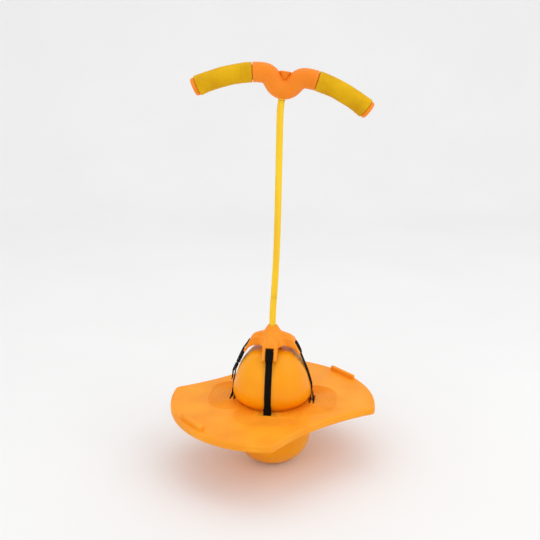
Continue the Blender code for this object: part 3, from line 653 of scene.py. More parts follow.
def ridge_line(slot_azimuth, offset):
    """Runs of points along one ridge that rings a strap slot, clear of the ball's hole."""
    half = SLOT_SIZE[1] / 2
    turn = Matrix.Rotation(slot_azimuth, 2)
    outward = Vector((cos(slot_azimuth), sin(slot_azimuth)))
    steps = max(24, int(offset * pi / 0.0035))
    ring = arc((OUTER_SLOT, -half), offset, -pi, 0, steps)
    ring += [(OUTER_SLOT + offset, -half + 2 * half * k / 12) for k in range(1, 12)]
    ring += arc((OUTER_SLOT, half), offset, 0, pi, steps)
    runs, run = [], []
    for local in ring:
        x, y = turn @ Vector(local)
        spread = abs(atan2(y, x) - slot_azimuth + pi) % (2 * pi) - pi
        past = hypot(x, y) * sin(max(0.0, abs(spread) - pi / 4))
        ahead = Vector((x, y)).dot(outward) > 0
        if ahead and past < RIDGE_OVERLAP and hypot(x, y) > DECK_HOLE + 0.006:
            run.append(Vector((x, y, RIDGE_HEIGHT)))
        else:
            runs.append(run)
            run = []
    runs.append(run)
    return [run for run in runs if len(run) > 4]


def ridge_radius(along, angle):
    """The ridge's radius, drawn in at both ends."""
    return RIDGE_RADIUS * min(1, 12 * along + 0.25, 12 * (1 - along) + 0.25)


def make_tread(plastic):
    """Low ridges that ring each strap slot, for grip underfoot, in a slightly darker copy of the board's
    plastic: painted shade on the ridge groups.
    """
    meshes = []
    for azimuth in STRAP_AZIMUTHS:
        centre = (azimuth + pi) % (2 * pi) - pi
        for i in range(RIDGE_COUNT):
            for run in ridge_line(centre, RIDGE_START + RIDGE_PITCH * i):
                meshes.append(grid_mesh("ridge", tube_rows(run, ridge_radius, 8), cap_ends=True))
    mesh = join_meshes("deck_tread", *meshes)
    piece("deck_tread", shade(drooped(mesh), 80), plastic, "platform", slot="board_plastic")


# ---------- ball ----------

def ball_rows(profile):
    """The lobe swells between the straps, is drawn in under them and lies flat round the valve."""
    rows = []
    for i, (radius, height) in enumerate(profile):
        before, after = profile[max(i - 1, 0)], profile[min(i + 1, len(profile) - 1)]
        run = hypot(after[0] - before[0], after[1] - before[1])
        out, up = (after[1] - before[1]) / run, (before[0] - after[0]) / run
        full = smoothstep((height - 0.139) / 0.025) * smoothstep((radius - 0.025) / 0.030)
        row = []
        for k in range(BALL_SIDES):
            azimuth = 2 * pi * k / BALL_SIDES
            off = azimuth % (pi / 2) - pi / 4
            strap = exp(-(radius * off / 0.013) ** 2)
            between = sin(2 * off) ** 2
            away = hypot(radius * (azimuth - VALVE_AZIMUTH), height - VALVE_PLACE[1]) / VALVE_CLEARANCE
            swell = full * (BALL_SWELL * between * (1 - exp(-away ** 4)) - STRAP_DENT * strap)
            crease = -STRAP_CREASE * full * exp(-((abs(radius * off) - 0.0100) / 0.0012) ** 2)
            row.append(polar(radius + out * (swell + crease), azimuth, height + up * (swell + crease)))
        rows.append(row)
    return rows


def make_ball(skin):
    upper = grid_mesh("ball_upper", ball_rows(outline_through(UPPER_LOBE[::-1], 6)))
    solid = ("SOLIDIFY", {"thickness": BALL_WALL, "offset": -1, "use_even_offset": True})
    valve = valve_matrix()
    hole_profile = [(0, -0.012), (0.0050, -0.012), (0.0050, 0.0), (0.0056, 0.003), (0, 0.003)]
    hole = moved(turned_mesh("valve_hole", hole_profile, 40), valve)
    upper = worked(upper, solid, minus(hole))
    piece("ball_upper", shade(upper, 50), skin, "platform", "ball_upper_lobe", slot="ball_vinyl")
    low_profile = outline_through(LOWER_LOBE[1:-1], 6)
    low_profile = [LOWER_LOBE[0], (LOWER_LOBE[0][0], 0.129)] + low_profile + [(0.016, 0.0), (0.0, 0.0)]
    rows = [[polar(r, 2 * pi * k / BALL_SIDES, max(z, 0.0)) for k in range(BALL_SIDES)]
            for r, z in low_profile]
    lower = worked(grid_mesh("ball_lower", rows), solid)
    low = piece("ball_lower", shade(lower, 50), skin, None, "ball_lower_lobe", slot="ball_vinyl")
    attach(low, "platform")
    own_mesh(low)
    profile = [(0, 0.0018), (0.0028, 0.0018), (0.0032, 0.0014), (0.0036, 0.0014), (0.0040, 0.0018),
               (0.0060, 0.0018), (0.0067, 0.0016), (0.0070, 0.0011), (0.0068, 0.0007), (0.0062, 0.0006),
               (0.0044, 0.0005), (0.0044, -0.0044), (0.0038, -0.0050), (0, -0.0050)]
    piece("valve_stopper", shade(moved(turned_mesh("valve_stopper", profile, 48), valve), 40), skin,
          "ball_valve", "valve_plug", slot="ball_vinyl")


def valve_matrix():
    turn = Matrix.Rotation(VALVE_AZIMUTH, 4, "Z") @ Matrix.Rotation(VALVE_TILT, 4, "Y")
    return Matrix.Translation(polar(VALVE_PLACE[0], VALVE_AZIMUTH, VALVE_PLACE[1])) @ turn


# ---------- crown ----------

def slope_point(along, outward):
    """A point by its distance down a crown arm's slope and out from its top face."""
    return (ARM_SHOULDER[0] + along * cos(ARM_SLOPE) + outward * sin(ARM_SLOPE),
            ARM_SHOULDER[1] - along * sin(ARM_SLOPE) + outward * cos(ARM_SLOPE))


def radial_plate(name, outline, width, azimuth):
    """A plate whose outline of radii and heights lies in an upright plane through the axis."""
    rows = [[(r, side, z) for r, z in outline] for side in (-width / 2, width / 2)]
    return moved(grid_mesh(name, rows, cap_ends=True), Matrix.Rotation(azimuth, 4, "Z"))


def make_crown(plastic, collar_plastic):
    """The four-armed crown, remeshed so that hub, saddle and arms flow together, and its collar."""
    hub_profile = [(0, BOSS_TOP), (0.0096, BOSS_TOP), (0.0108, 0.2990), (0.0165, 0.2895),
                   (0.0192, 0.2858), (0.0222, 0.2820), (0.0240, 0.2760), (0.0235, HUB_BOTTOM),
                   (0, HUB_BOTTOM)]
    hub = turned_mesh("crown_hub", hub_profile)
    tip = slope_point(ARM_LENGTH, 0)
    edge = [slope_point(ARM_LENGTH, -0.0045), (0.0480, 0.2535), (0.0360, 0.2595), (0.0230, 0.2620),
            (0.0090, 0.2620)]
    wide = [(0.0090, 0.2800), (0.0220, 0.2796), (0.0360, 0.2768), slope_point(0.0060, 0), tip] + edge
    spine = [(0.0090, 0.2862), (0.0220, 0.2858), (0.0370, 0.2806), ARM_SHOULDER, slope_point(0.012, 0),
             slope_point(0.012, -0.0030), (0.0370, 0.2740), (0.0090, 0.2740)]
    saddle = turned_mesh("crown_saddle", [(0, 0.2840), (0.0200, 0.2830), (0.0260, 0.2775),
                                          (0.0310, 0.2700), (0.0330, 0.2620), (0, 0.2620)])
    arms = [plus(radial_plate("crown_arm", wide, ARM_WIDTH, azimuth)) for azimuth in STRAP_AZIMUTHS]
    arms += [plus(radial_plate("crown_spine", spine, 0.016, azimuth)) for azimuth in STRAP_AZIMUTHS]
    crown = worked(hub, plus(saddle), *arms, remesh(0.0009), soften(26), remesh(0.0008), soften(4))
    under = [(0.0255, 0.2740), (0.0350, 0.2720), slope_point(0.0070, -ARM_PLATE),
             slope_point(ARM_LENGTH + 0.01, -ARM_PLATE), (0.0560, 0.2200), (0.0255, 0.2200)]
    fork_start = ARM_LENGTH - FORK_LENGTH
    slot_start = fork_start - CROWN_BAR - CROWN_SLOT
    gaps = [(slot_start, slot_start + CROWN_SLOT), (fork_start, ARM_LENGTH + 0.02)]
    cutters = []
    for azimuth in STRAP_AZIMUTHS:
        cutters.append(minus(radial_plate("arm_channel", under, ARM_WIDTH - 0.006, azimuth)))
        for start, end in gaps:
            outline = [slope_point(start, 0.02), slope_point(end, 0.02), slope_point(end, -0.02),
                       slope_point(start, -0.02)]
            cutters.append(minus(radial_plate("arm_gap", outline, FORK_WIDTH, azimuth)))
    core = turned_mesh("hub_core", [(0, 0.2625), (0.0195, 0.2625), (0.0195, 0.2400), (0, 0.2400)])
    seat = turned_mesh("seat", [(0, 0.24), (0.0124, 0.24), (0.0124, 0.281), (0, 0.281)])
    bore = turned_mesh("bore", [(0, 0.24), (CORD_RADIUS + 0.0004, 0.24), (CORD_RADIUS + 0.0004, 0.2997),
                                (CORD_RADIUS + 0.0018, 0.3025), (0, 0.3025)])
    crown = worked(crown, *cutters, minus(core), minus(seat), minus(bore), remesh(0.0006), soften(3))
    piece("crown_casting", shade(crown, 60), plastic, "platform", "crown", slot="crown_plastic")
    collar = [(0.0071, 0.2807), (0.0112, 0.2807), (0.0118, 0.2801), (0.0118, 0.2730), (0.0108, 0.2720),
              (0.0071, 0.2720)]
    piece("cord_collar", shade(turned_mesh("cord_collar", collar, 64, closed=True), 40), collar_plastic,
          "platform", "cord_anchor_collar", slot="buckle_plastic")


# ---------- straps ----------

def crown_loop():
    """Round the crown's bar: up behind it, out through the slot and down its face."""
    bar_top = ARM_LENGTH - FORK_LENGTH - CROWN_BAR - STRAP_OFFSET
    bar_end = ARM_LENGTH - FORK_LENGTH + 0.0005
    behind = -ARM_PLATE - STRAP_OFFSET
    return [slope_point(bar_end, behind), slope_point(bar_top, behind),
            slope_point(bar_top, STRAP_OFFSET), slope_point(bar_end, STRAP_OFFSET)]


def join_point():
    return slope_point(ARM_LENGTH - FORK_LENGTH + 0.006, STRAP_OFFSET - LAYER_PITCH)


def beside(start, end, along, outward):
    """A point a distance along a line and out from it."""
    reach = hypot(end[0] - start[0], end[1] - start[1])
    way = ((end[0] - start[0]) / reach, (end[1] - start[1]) / reach)
    return (start[0] + along * way[0] - outward * way[1], start[1] + along * way[1] + outward * way[0])


def ball_contact(lowest, highest):
    """The route over the ball's bulge, just clear of it, from the top down."""
    clear = STRAP_OFFSET + 0.0002
    route = []
    for i in range(1, len(UPPER_LOBE) - 1):
        before, here, after = UPPER_LOBE[i - 1], UPPER_LOBE[i], UPPER_LOBE[i + 1]
        if lowest <= here[1] <= highest:
            run = hypot(after[0] - before[0], after[1] - before[1])
            normal = ((before[1] - after[1]) / run, (after[0] - before[0]) / run)
            route.append((here[0] + clear * normal[0], here[1] + clear * normal[1]))
    return route


def deck_loop():
    """Down the inner slot, under the bar, up the outer slot and back beside the strap."""
    inner = INNER_SLOT + SLOT_SIZE[0] / 2 - STRAP_OFFSET
    outer = OUTER_SLOT - SLOT_SIZE[0] / 2 + STRAP_OFFSET
    under = DECK_TOP - DECK_SKIN - STRAP_OFFSET
    return [(0.0830, 0.1550), (0.0813, 0.1465), (inner, 0.1405), (inner, under), (outer, under),
            (outer, 0.1405), (0.0852, 0.1475), (0.0849, 0.1550)]


def rounded_route(points, radius, closed=False):
    """The route with every corner turned round a small curve, as evenly spaced points."""
    count = len(points)
    points = [Vector(p) for p in points]
    found = [] if closed else [points[0]]
    for i in range(count) if closed else range(1, count - 1):
        before, here, after = points[i - 1], points[i], points[(i + 1) % count]
        back, ahead = before - here, after - here
        reach = min(radius, back.length * 0.45, ahead.length * 0.45)
        start, end = here + back.normalized() * reach, here + ahead.normalized() * reach
        for k in range(7):
            t = k / 6
            found.append(start * (1 - t) ** 2 + here * 2 * t * (1 - t) + end * t * t)
    if not closed:
        found.append(points[-1])
    even = [found[0]]
    for a, b in zip(found, found[1:] + (found[:1] if closed else [])):
        pieces = max(1, int((b - a).length / 0.0016))
        even += [a.lerp(b, k / pieces) for k in range(1, pieces + 1)]
    return even[:-1] if closed else even


def strap_width(height):
    """Full width at the crown, drawn in over the ball and full again at the board's hem."""
    narrow = smoothstep((0.247 - height) / 0.012) * smoothstep((height - 0.149) / 0.004)
    return STRAP_WIDTH + 0.0008 - 0.0020 * narrow


def webbing(name, route, closed=False):
    """Woven strap along a route of radii and heights: rounded edges, and UVs for the weave."""
    count = len(route)
    half_thick = STRAP_THICKNESS / 2
    section = []
    for side in (1, -1):
        section += [(side * (1 - 0.055), side * 1.0), (side * (1 - 0.012), side * 0.62), (side * 1.0, 0.0),
                    (side * (1 - 0.012), -side * 0.62), (side * (1 - 0.055), -side * 1.0)]
        section += [(side * (0.945 - 1.89 * k / 9), -side * 1.0) for k in range(1, 9)]
    rows, marks = [], []
    along = 0.0
    for i, here in enumerate(route):
        before = route[i - 1] if i or closed else here
        after = route[(i + 1) % count] if i < count - 1 or closed else here
        if i:
            along += (here - route[i - 1]).length
        way = (after - before).normalized()
        normal = Vector((-way.y, way.x))
        half = strap_width(here.y) / 2 * (1 + 0.008 * sin(along * 700))
        row = []
        for across, out in section:
            ripple = 0.00006 * sin(along * 1900 + across * 6)
            r, z = here + normal * (out * half_thick + (ripple if abs(out) > 0.9 else 0.0))
            row.append((r, across * half, z))
        rows.append(row)
        marks.append(along)
    mesh = grid_mesh(name, rows, wrap_rows=closed, cap_ends=not closed)
    return weave_uv(mesh, route, marks)


def weave_uv(mesh, route, marks):
    """UVs in weave units: across the strap, and along its nearest point of the route."""
    layer = mesh.uv_layers.new(name="weave")
    nearest = {}
    for vert in mesh.vertices:
        place = Vector((vert.co.x, vert.co.z))
        best = min(range(len(route)), key=lambda i: (route[i] - place).length_squared)
        nearest[vert.index] = (vert.co.y / WEAVE_ACROSS * WAVE_UNIT,
                                marks[best] / WEAVE_ALONG * WAVE_UNIT)
    for loop in mesh.loops:
        layer.data[loop.index].uv = nearest[loop.vertex_index]
    return mesh


def stitches(route, start, end):
    """Two lines of thread along a strap between two distances on its route."""
    threads = []
    lengths = [0.0]
    for a, b in zip(route, route[1:]):
        lengths.append(lengths[-1] + (b - a).length)

    def at(distance):
        i = max(j for j, value in enumerate(lengths[:-1]) if value <= distance)
        way = (route[i + 1] - route[i]).normalized()
        return route[i] + way * (distance - lengths[i]), Vector((-way.y, way.x))

    for side in STITCH_COLUMNS:
        distance = start
        while distance + 0.0016 < end:
            points = []
            for k, lift in enumerate((-0.2, 0.6, 0.8, 0.6, -0.2)):
                place, normal = at(distance + 0.0004 * k)
                place = place + normal * (STRAP_THICKNESS / 2 + 0.00022 * lift)
                points.append(Vector((place.x, side, place.y)))
            threads.append(grid_mesh("thread", tube_rows(points, 0.00024, 6), cap_ends=True))
            distance += 0.0024
    return threads


def strap_piece(name, node, mesh, threads, azimuth, weave):
    """A strap turned to its azimuth, with its stitches as a second piece."""
    turn = Matrix.Rotation(azimuth, 4, "Z")
    piece(name, shade(moved(mesh, turn), 50), weave, "platform", node, slot="webbing")
    if threads:
        sewn = moved(join_meshes(name + "_stitches", *threads), turn)
        piece(name + "_stitches", shade(sewn, 60), bpy.data.materials["webbing_thread"], "platform",
              slot="webbing")


def buckle_point(outward, along):
    """A point of the buckle's own frame as radius and height."""
    return (BUCKLE_CENTRE[0] + outward * cos(BUCKLE_TILT) - along * sin(BUCKLE_TILT),
            BUCKLE_CENTRE[1] + outward * sin(BUCKLE_TILT) + along * cos(BUCKLE_TILT))


def make_straps(weave):
    """Three plain straps, then the left one in its two lengths either side of the buckle."""
    for name, azimuth in (("back", 0), ("front", 2), ("right", 3)):
        contact = ball_contact(0.160, 0.206)
        join = join_point()
        points = [beside(join, contact[0], along, LAYER_PITCH) for along in (0.014, 0.0005)]
        points += list(reversed(crown_loop())) + [join] + contact + deck_loop()
        route = rounded_route(points, 0.0022)
        length = sum((b - a).length for a, b in zip(route, route[1:]))
        threads = stitches(route, 0.0010, STITCHED_LENGTH)
        threads += stitches(route, length - STITCHED_LENGTH, length - 0.0010)
        strap_piece("strap_%s_webbing" % name, "strap_" + name, webbing("webbing", route), threads,
                    STRAP_AZIMUTHS[azimuth], weave)
    face = 0.002 + STRAP_OFFSET
    turn_at = BUCKLE_END - 0.004 - STRAP_OFFSET
    points = crown_loop() + [buckle_point(face, BUCKLE_END), buckle_point(face, turn_at),
                             buckle_point(-face, turn_at), buckle_point(-face, BUCKLE_END)]
    strap_piece("strap_left_upper_webbing", "strap_left_upper",
                webbing("webbing", rounded_route(points, 0.0014, True), True), [], BUCKLE_AZIMUTH, weave)
    face = 0.00175 + STRAP_OFFSET
    contact = ball_contact(0.160, 0.176)
    within = buckle_point(-face, -BUCKLE_END)
    points = [beside(within, contact[0], 0.022, 2 * LAYER_PITCH), buckle_point(face, -BUCKLE_END),
              buckle_point(face, -0.0135 + STRAP_OFFSET), buckle_point(-face, -0.0135 + STRAP_OFFSET),
              within] + contact + deck_loop()
    route = rounded_route(points, 0.0014)
    length = sum((b - a).length for a, b in zip(route, route[1:]))
    threads = stitches(route, length - STITCHED_LENGTH, length - 0.0010)
    strap_piece("strap_left_lower_webbing", "strap_left_lower", webbing("webbing", route), threads,
                BUCKLE_AZIMUTH, weave)


# ---------- side-release buckle ----------

def buckle_matrix():
    turn = Matrix.Rotation(BUCKLE_AZIMUTH, 4, "Z") @ Matrix.Rotation(-BUCKLE_TILT, 4, "Y")
    return Matrix.Translation(polar(BUCKLE_CENTRE[0], BUCKLE_AZIMUTH, BUCKLE_CENTRE[1])) @ turn


def make_buckle(plastic):
    """In its own frame: X outward, Y across, Z towards the crown."""
    place = buckle_matrix()
    socket = rounded_box("buckle_socket", (0.008, 0.024, 0.020), 0.0018, 5, (0, 0, 0.007))
    neck = rounded_box("neck", (0.0040, 0.022, 0.0115), 0.0014, 4, (0, 0, BUCKLE_END - 0.0115 / 2))
    cavity = rounded_box("cavity", (0.0050, 0.0208, 0.018), 0.0006, 2, (0, 0, 0.004))
    window = rounded_box("window", (0.0050, 0.034, 0.0100), 0.0012, 3, (0, 0, 0.006))
    slot = rounded_box("slot", (0.02, FORK_WIDTH, 0.0032), 0.0008, 3, (0, 0, BUCKLE_END - 0.0056))
    dish = moved(turned_mesh("dish", [(0, -0.0012), (0.004, -0.0008), (0.0066, 0.0), (0.0066, 0.004),
                                      (0, 0.004)], 48),
                 Matrix.Translation((0.0040, 0, 0.006)) @ Matrix.Rotation(pi / 2, 4, "Y"))
    socket = worked(socket, plus(neck), minus(cavity), minus(window), minus(slot), minus(dish))
    piece("buckle_female", shade(moved(socket, place), 35), plastic, "platform", "buckle_socket",
          slot="buckle_plastic")
    base_top = SOCKET_MOUTH - 0.0003
    base = BUCKLE_END + base_top
    plug = rounded_box("buckle_plug", (0.0035, 0.021, base), 0.0012, 4, (0, 0, -BUCKLE_END + base / 2))
    tongue = rounded_box("tongue", (0.0040, 0.0070, 0.0170), 0.0010, 3, (0, 0, base_top + 0.0060))
    steps = [plus(tongue)]
    for height in (-0.0119, -0.0188):
        steps.append(minus(rounded_box("ladder", (0.02, FORK_WIDTH, 0.0032), 0.0008, 3, (0, 0, height))))
    for k in range(4):
        tooth = rounded_box("tooth", (0.0008, 0.0150, 0.0008), 0.0003, 2,
                            (0.0018, 0, -0.0046 - 0.0013 * k))
        steps.append(plus(tooth))
    piece("buckle_male", shade(moved(worked(plug, *steps), place), 35), plastic, "platform", "buckle_plug",
          slot="buckle_plastic")
    for name, side in (("front", 1), ("rear", -1)):
        prong = rounded_box("prong", (0.0042, 0.0032, 0.015), 0.0010, 4, (0, side * 0.0084, 0.0045))
        head = rounded_box("head", (0.0042, 0.0048, 0.0080), 0.0012, 4,
                           (0, side * (0.0084 - 0.0016 + 0.0024), 0.0060))
        steps = [plus(head)]
        for k in range(4):
            steps.append(plus(rounded_box("grip", (0.0034, 0.0008, 0.0007), 0.0002, 2,
                                          (0, side * 0.0116, 0.0036 + 0.0016 * k))))
        piece("buckle_prong_" + name + "_part", shade(moved(worked(prong, *steps), place), 35), plastic,
              "buckle_%s_prong" % name, "buckle_prong_" + name, slot="buckle_plastic")


# ---------- cord ----------

def cord_place(sideways, height):
    return LEAN_WAY * sideways + Vector((0, 0, height))


def handle_matrix():
    along = HANDLE_UP.cross(Vector((LEAN_WAY.y, -LEAN_WAY.x, 0))).normalized()
    if along.dot(LEAN_WAY) < 0:
        along = -along
    turn = Matrix((along, HANDLE_UP.cross(along), HANDLE_UP)).transposed().to_4x4()
    return Matrix.Translation(HANDLE_CENTRE) @ turn


def cord_radius(along, angle):
    return CORD_RADIUS * (1 + 0.012 * cos(2 * angle) + 0.006 * sin(43 * along + angle))


def make_cord(rubber):
    """One line from the crown to the handlebar, cut into the lengths that bend and stretch."""
    frame_in = handle_matrix()
    points = [cord_place(*place) for place in CORD_LEAN]
    points += [frame_in @ Vector((0, 0, height)) for height in (-0.0215, 0.0, 0.0160)]
    line = curve_through(points, 14)
    rows = tube_rows(line, cord_radius, 40)
    for name, node, body, low, high in CORD_PIECES:
        kept = [row for row, centre in zip(rows, line) if low - 0.0001 <= centre.z <= high + 0.0025]
        mesh = shade(grid_mesh("cord_" + name, kept, cap_ends=True), 60)
        length = piece("cord_" + name, mesh, rubber, body, node, slot="cord_rubber")
        if name in CORD_BLENDS:
            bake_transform(length)


# ---------- handlebar ----------

def bar_path(distance):
    """The centre line's point and heading at a distance along the right half of the bar."""
    point, heading = Vector((0, 0, 0)), 0.0
    for length, turn in HALF_ROUTE:
        part = max(0.0, min(distance, length))
        angle = radians(turn) * part / length
        chord = part * sin(angle / 2) / (angle / 2) if angle else part
        middle = heading + angle / 2
        point = point + Vector((cos(middle), 0, sin(middle))) * chord
        heading += angle
        distance -= part
    return point, heading


def bar_frame(distance):
    """Centre and upward direction at a signed distance along the whole bar."""
    side = 1 if distance >= 0 else -1
    point, heading = bar_path(abs(distance))
    return Vector((side * point.x, 0, point.z)), Vector((-side * sin(heading), 0, cos(heading)))


def bar_radius(distance, angle):
    """Radius of the bar's outside: grooved along its front and back near the grips, with a collar."""
    reach = abs(distance)
    if reach > GRIP_START - 0.0002:
        return SLEEVE_RADIUS
    collar = smoothstep((reach - (GRIP_START - 0.0076)) / 0.0006)
    near = hump(reach, GRIP_START - 0.0079, 0.0007)
    fade = smoothstep((reach - 0.028) / 0.010) * (1 - collar)
    facing = abs(cos(angle))
    lines = 0.5 + 0.5 * cos(angle * 2 * 16)
    round_off = 0.0006 * smoothstep((reach - (GRIP_START - 0.0012)) / 0.0010)
    return TUBE_RADIUS - 0.00040 * near - 0.00045 * fade * facing * lines ** 2 - round_off


def shell_mesh(name, side):
    """One half of the hollow bar: side is -1 for the front and 1 for the rear."""
    stations = [-BAR_END + 2 * BAR_END * k / 400 for k in range(401)]
    stations += [s * (GRIP_START + step) for s in (-1, 1)
                 for step in (-0.0083, -0.0079, -0.0075, -0.0071, -0.0012, -0.0006, -0.0003, -0.0001)]
    rows = []
    for distance in sorted(stations):
        centre, up = bar_frame(distance)
        row = []
        for inner in (False, True):
            for k in range(57):
                angle = -pi / 2 + pi * k / 56
                if inner:
                    angle = -angle
                radius = bar_radius(distance, angle)
                if inner:
                    wide = abs(distance) <= GRIP_START
                    radius = (TUBE_RADIUS if wide else SLEEVE_RADIUS) - TUBE_WALL
                outward = Vector((0, side * cos(angle) * radius, 0)) + up * (sin(angle) * radius)
                row.append(centre + outward + Vector((0, side * 0.00012, 0)))
        rows.append(row)
    return grid_mesh(name, rows, cap_ends=True)


def screw_depth(distance):
    return (TUBE_RADIUS if distance < GRIP_START else SLEEVE_RADIUS) - 0.0032


def screw_places():
    return [(side, distance) for side in (-1, 1) for distance in SHELL_SCREWS]


def make_shells(plastic, place):
    """Front and rear halves, bored for the cord and its plug, with screw holes behind."""
    fit = CORD_RADIUS + 0.0004
    bore_profile = [(0, -0.04), (0.0085, -0.04), (0.0085, -0.0192), (fit, -0.0182), (fit, 0.06), (0, 0.06)]
    bore = turned_mesh("bore", bore_profile, 48)
    seat_profile = [(0, 0.06), (0.0121, 0.06), (0.0121, 0.0335), (0.0073, 0.0168), (0, 0.0168)]
    seat = turned_mesh("seat", seat_profile, 64)
    for name, node, side in (("handlebar_front", "handlebar_front_shell", -1),
                             ("handlebar_rear", "handlebar_rear_shell", 1)):
        steps = [minus(bore), minus(seat)]
        if side > 0:
            for half, distance in screw_places():
                centre = bar_path(distance)[0]
                depth = screw_depth(distance)
                hole = turned_mesh("hole", [(0, depth), (0.0034, depth), (0.0034, 0.03), (0, 0.03)], 32)
                steps.append(minus(moved(hole, Matrix.Translation((half * centre.x, 0, centre.z))
                                         @ Matrix.Rotation(-pi / 2, 4, "X"))))
        mesh = worked(shell_mesh(name, side), *steps)
        piece(name, shade(moved(mesh, place), 40), plastic, "handlebar", node, slot="handle_plastic")


def make_screws(steel, place):
    """Cross-headed screws set into the rear half."""
    for number, (side, distance) in enumerate(screw_places(), start=1):
        low = screw_depth(distance)
        head = turned_mesh("screw", [(0, low + 0.0018), (0.0016, low + 0.0018), (0.0026, low + 0.0013),
                                     (0.0030, low + 0.0006), (0.0030, low), (0.0015, low),
                                     (0.0015, -0.0075), (0, -0.0085)], 40)
        steps = [minus(rounded_box("cross", size, 0.0001, 1, (0, 0, low + 0.0016)))
                 for size in ((0.0030, 0.0007, 0.0016), (0.0007, 0.0030, 0.0016))]
        centre = bar_path(distance)[0]
        local = Matrix.Translation((side * centre.x, 0, centre.z)) @ Matrix.Rotation(-pi / 2, 4, "X")
        piece("shell_screw_%d" % number, shade(moved(worked(head, *steps), place @ local), 35), steel,
              "handlebar", "handlebar_screw_%d" % number, slot="screw_steel")


def grip_radius(distance, angle, side):
    """Foam sleeve: hem bands at both ends, soft hollows between them and creases by the cap."""
    inner, outer = distance - FOAM_START, FOAM_END - distance
    bands = smoothstep((0.0196 - inner) / 0.0006) + smoothstep((0.0164 - outer) / 0.0006)
    radius = 0.0187 + 0.00035 * bands + 0.0005 * hump(outer, 0.002, 0.006)
    radius -= 0.0005 * hump(inner, 0.0200, 0.0007) + 0.0005 * hump(outer, 0.0168, 0.0007)
    for line in (0.0050, 0.0090, 0.0130):
        radius -= 0.00026 * hump(inner, line, 0.0006)
    for line in (0.0036, 0.0072, 0.0112):
        radius -= 0.00034 * hump(outer, line + 0.0006 * sin(2 * angle + side), 0.0006)
    middle = smoothstep(min(inner - 0.019, outer - 0.016) / 0.02)
    radius -= 0.0003 * middle * (0.5 + 0.5 * sin(distance * 160 + 2 * angle))
    radius += 0.0002 * sin(distance * 90 + side) * sin(3 * angle + distance * 60)
    radius -= 0.0014 * hump(outer, 0.0030, 0.0016) * hump((angle + pi / 2) % (2 * pi), 0.5, 0.4)
    edge = 0.0016
    for rim in (inner, outer):
        if rim < edge:
            radius -= edge - sqrt(max(0.0, edge ** 2 - (edge - max(rim, 0)) ** 2))
    return radius


def make_grips(foam, place):
    """Two foam sleeves, fine at their rounded ends and hollow for the bar."""
    fine = [0.0, 0.0002, 0.0005, 0.0009, 0.0014]
    stations = [FOAM_START + step for step in fine]
    stations += [FOAM_START + 0.0018 + (FOAM_END - FOAM_START - 0.0036) * k / 210 for k in range(211)]
    stations += [FOAM_END - step for step in reversed(fine)]
    for name, side in (("left", -1), ("right", 1)):
        rows = []
        for distance in stations:
            centre, up = bar_frame(side * distance)
            rows.append([centre + up * sin(a) * grip_radius(distance, a, side)
                         + Vector((0, cos(a) * grip_radius(distance, a, side), 0))
                         for a in (2 * pi * k / 96 for k in range(96))])
        for distance in reversed(stations[2:-2:8]):
            centre, up = bar_frame(side * distance)
            rows.append([centre + (up * sin(a) + Vector((0, cos(a), 0))) * (SLEEVE_RADIUS + 0.0004)
                         for a in (2 * pi * k / 96 for k in range(96))])
        mesh = moved(grid_mesh("grip", rows, wrap_rows=True), place)
        grip = piece("grip_%s_foam" % name, shade(mesh, 60), foam, "handlebar", "grip_" + name,
                     slot="grip_foam")


def make_caps(plastic, place):
    rim = [(0.0174 - 0.0042 + 0.0042 * sin(radians(a)), 0.0080 - 0.0042 + 0.0042 * cos(radians(a)))
           for a in range(0, 91, 9)]
    profile = [(0, 0.0076), (0.0080, 0.0077), (0.0112, 0.0079)] + rim
    profile += [(0.0174, 0.0006), (0.0170, 0.0002), (0.0100, 0.0002), (0.0100, -0.0110),
                (0.0090, -0.0120), (0, -0.0120)]
    for name, side in (("left", -1), ("right", 1)):
        point, heading = bar_path(BAR_END)
        local = Matrix.Translation((side * point.x, 0, point.z)) \
            @ Matrix.Rotation(side * (pi / 2 - heading), 4, "Y")
        piece("bar_cap_" + name, shade(moved(turned_mesh("cap", profile, 96), place @ local), 35), plastic,
              "handlebar", "end_cap_" + name, slot="handle_plastic")


def make_top_plug(plastic, place):
    profile = [(0, 0.0332), (0.0090, 0.0332), (0.0098, 0.0335), (0.0106, 0.0333), (0.0112, 0.0325),
               (0.0111, 0.0316), (0.0070, 0.0172), (0.0068, 0.0168), (0.0030, 0.0166), (0.0030, 0.0006),
               (0, 0.0006)]
    piece("cord_plug", shade(moved(turned_mesh("cord_plug", profile, 72), place), 40), plastic, "cord_top",
          "cord_top_plug", slot="handle_plastic")


# ---------- stage ----------

def studio_material():
    finish = Finish("studio_floor", 0.9)
    finish.colour_from(finish.noise(2, 2), (0.3, (0.88, 0.88, 0.88, 1)), (0.7, (0.90, 0.90, 0.90, 1)))
    return finish.material


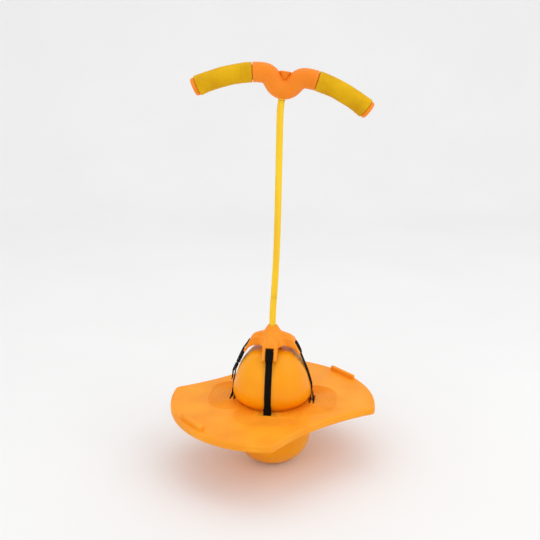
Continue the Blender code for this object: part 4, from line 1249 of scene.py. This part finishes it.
def make_stage():
    """A pale floor that sweeps up behind, and soft light from the front, left and above."""
    rows = []
    behind = Vector((0.61, 0.7923, 0.0))
    across = Vector((0.7923, -0.61, 0.0))
    curve = [(2.2 + 1.2 * sin(radians(a)), 1.2 - 1.2 * cos(radians(a))) for a in range(6, 91, 6)]
    for away, height in [(-4.0, 0.0), (2.2, 0.0)] + curve + [(3.4, 5.0)]:
        rows.append([behind * away + across * wide + Vector((0, 0, height - 0.0003)) for wide in (-5, 5)])
    mesh = grid_mesh("studio_floor", rows, wrap_columns=False)
    floor = bpy.data.objects.new("studio_floor", shade(mesh, 60))
    bpy.context.scene.collection.objects.link(floor)
    floor.data.materials.append(studio_material())
    for name, place, size, power in LAMPS:
        light = bpy.data.lights.new(name, "AREA")
        light.shape = "DISK"
        light.size = size
        light.energy = power
        lamp = bpy.data.objects.new(name, light)
        lamp.location = place
        lamp.rotation_euler = (Vector((0, 0, 0.3)) - Vector(place)).to_track_quat("-Z", "Y").to_euler()
        bpy.context.scene.collection.objects.link(lamp)
    world = bpy.data.worlds.new("studio")
    world.use_nodes = True
    world.node_tree.nodes["Background"].inputs["Color"].default_value = (1.0, 1.0, 1.0, 1)
    world.node_tree.nodes["Background"].inputs["Strength"].default_value = SKY_STRENGTH
    bpy.context.scene.world = world


def make_camera():
    data = bpy.data.cameras.new("camera")
    data.lens = CAMERA_LENS
    data.sensor_width = 36
    camera = bpy.data.objects.new("camera", data)
    camera.location = CAMERA_PLACE
    camera.rotation_euler = Vector(CAMERA_AIM).to_track_quat("-Z", "Y").to_euler()
    bpy.context.scene.collection.objects.link(camera)
    bpy.context.scene.camera = camera


def thread_material():
    finish = Finish("webbing_thread", 0.6)
    finish.colour_from(finish.noise(3000, 2), (0.3, colour(18, 17, 15)), (0.7, colour(40, 38, 34)))
    finish.bump((finish.wave(900, "DIAGONAL"), 0.00006))
    return finish.material


def main():
    bpy.context.scene.view_settings.view_transform = "Standard"
    board = moulded_plastic("board_plastic", colour(246, 150, 14), colour(251, 160, 22),
                            colour(254, 168, 30), 0.50)
    crown = moulded_plastic("crown_plastic", colour(240, 138, 14), colour(250, 150, 24),
                            colour(254, 158, 34), 0.46)
    handle = moulded_plastic("handle_plastic", colour(240, 130, 14), colour(248, 138, 20),
                             colour(252, 146, 28), 0.46)
    skin, rubber, foam = vinyl(), cord_rubber(), grip_foam()
    weave, buckle, steel = webbing_weave(), black_plastic(), zinc()
    thread_material()
    make_camera()
    make_stage()
    make_deck(board)
    # The tread's plastic is a slightly darker copy of the board's plastic: painted shade on the ridges.
    make_tread(moulded_plastic("tread_plastic_painted_shade", colour(242, 146, 12), colour(248, 156, 20),
                               colour(253, 166, 28), 0.52))
    make_ball(skin)
    make_crown(crown, buckle)
    make_straps(weave)
    make_buckle(buckle)
    make_cord(rubber)
    place = handle_matrix()
    make_shells(handle, place)
    make_screws(steel, place)
    make_grips(foam, place)
    make_caps(handle, place)
    make_top_plug(handle, place)


main()
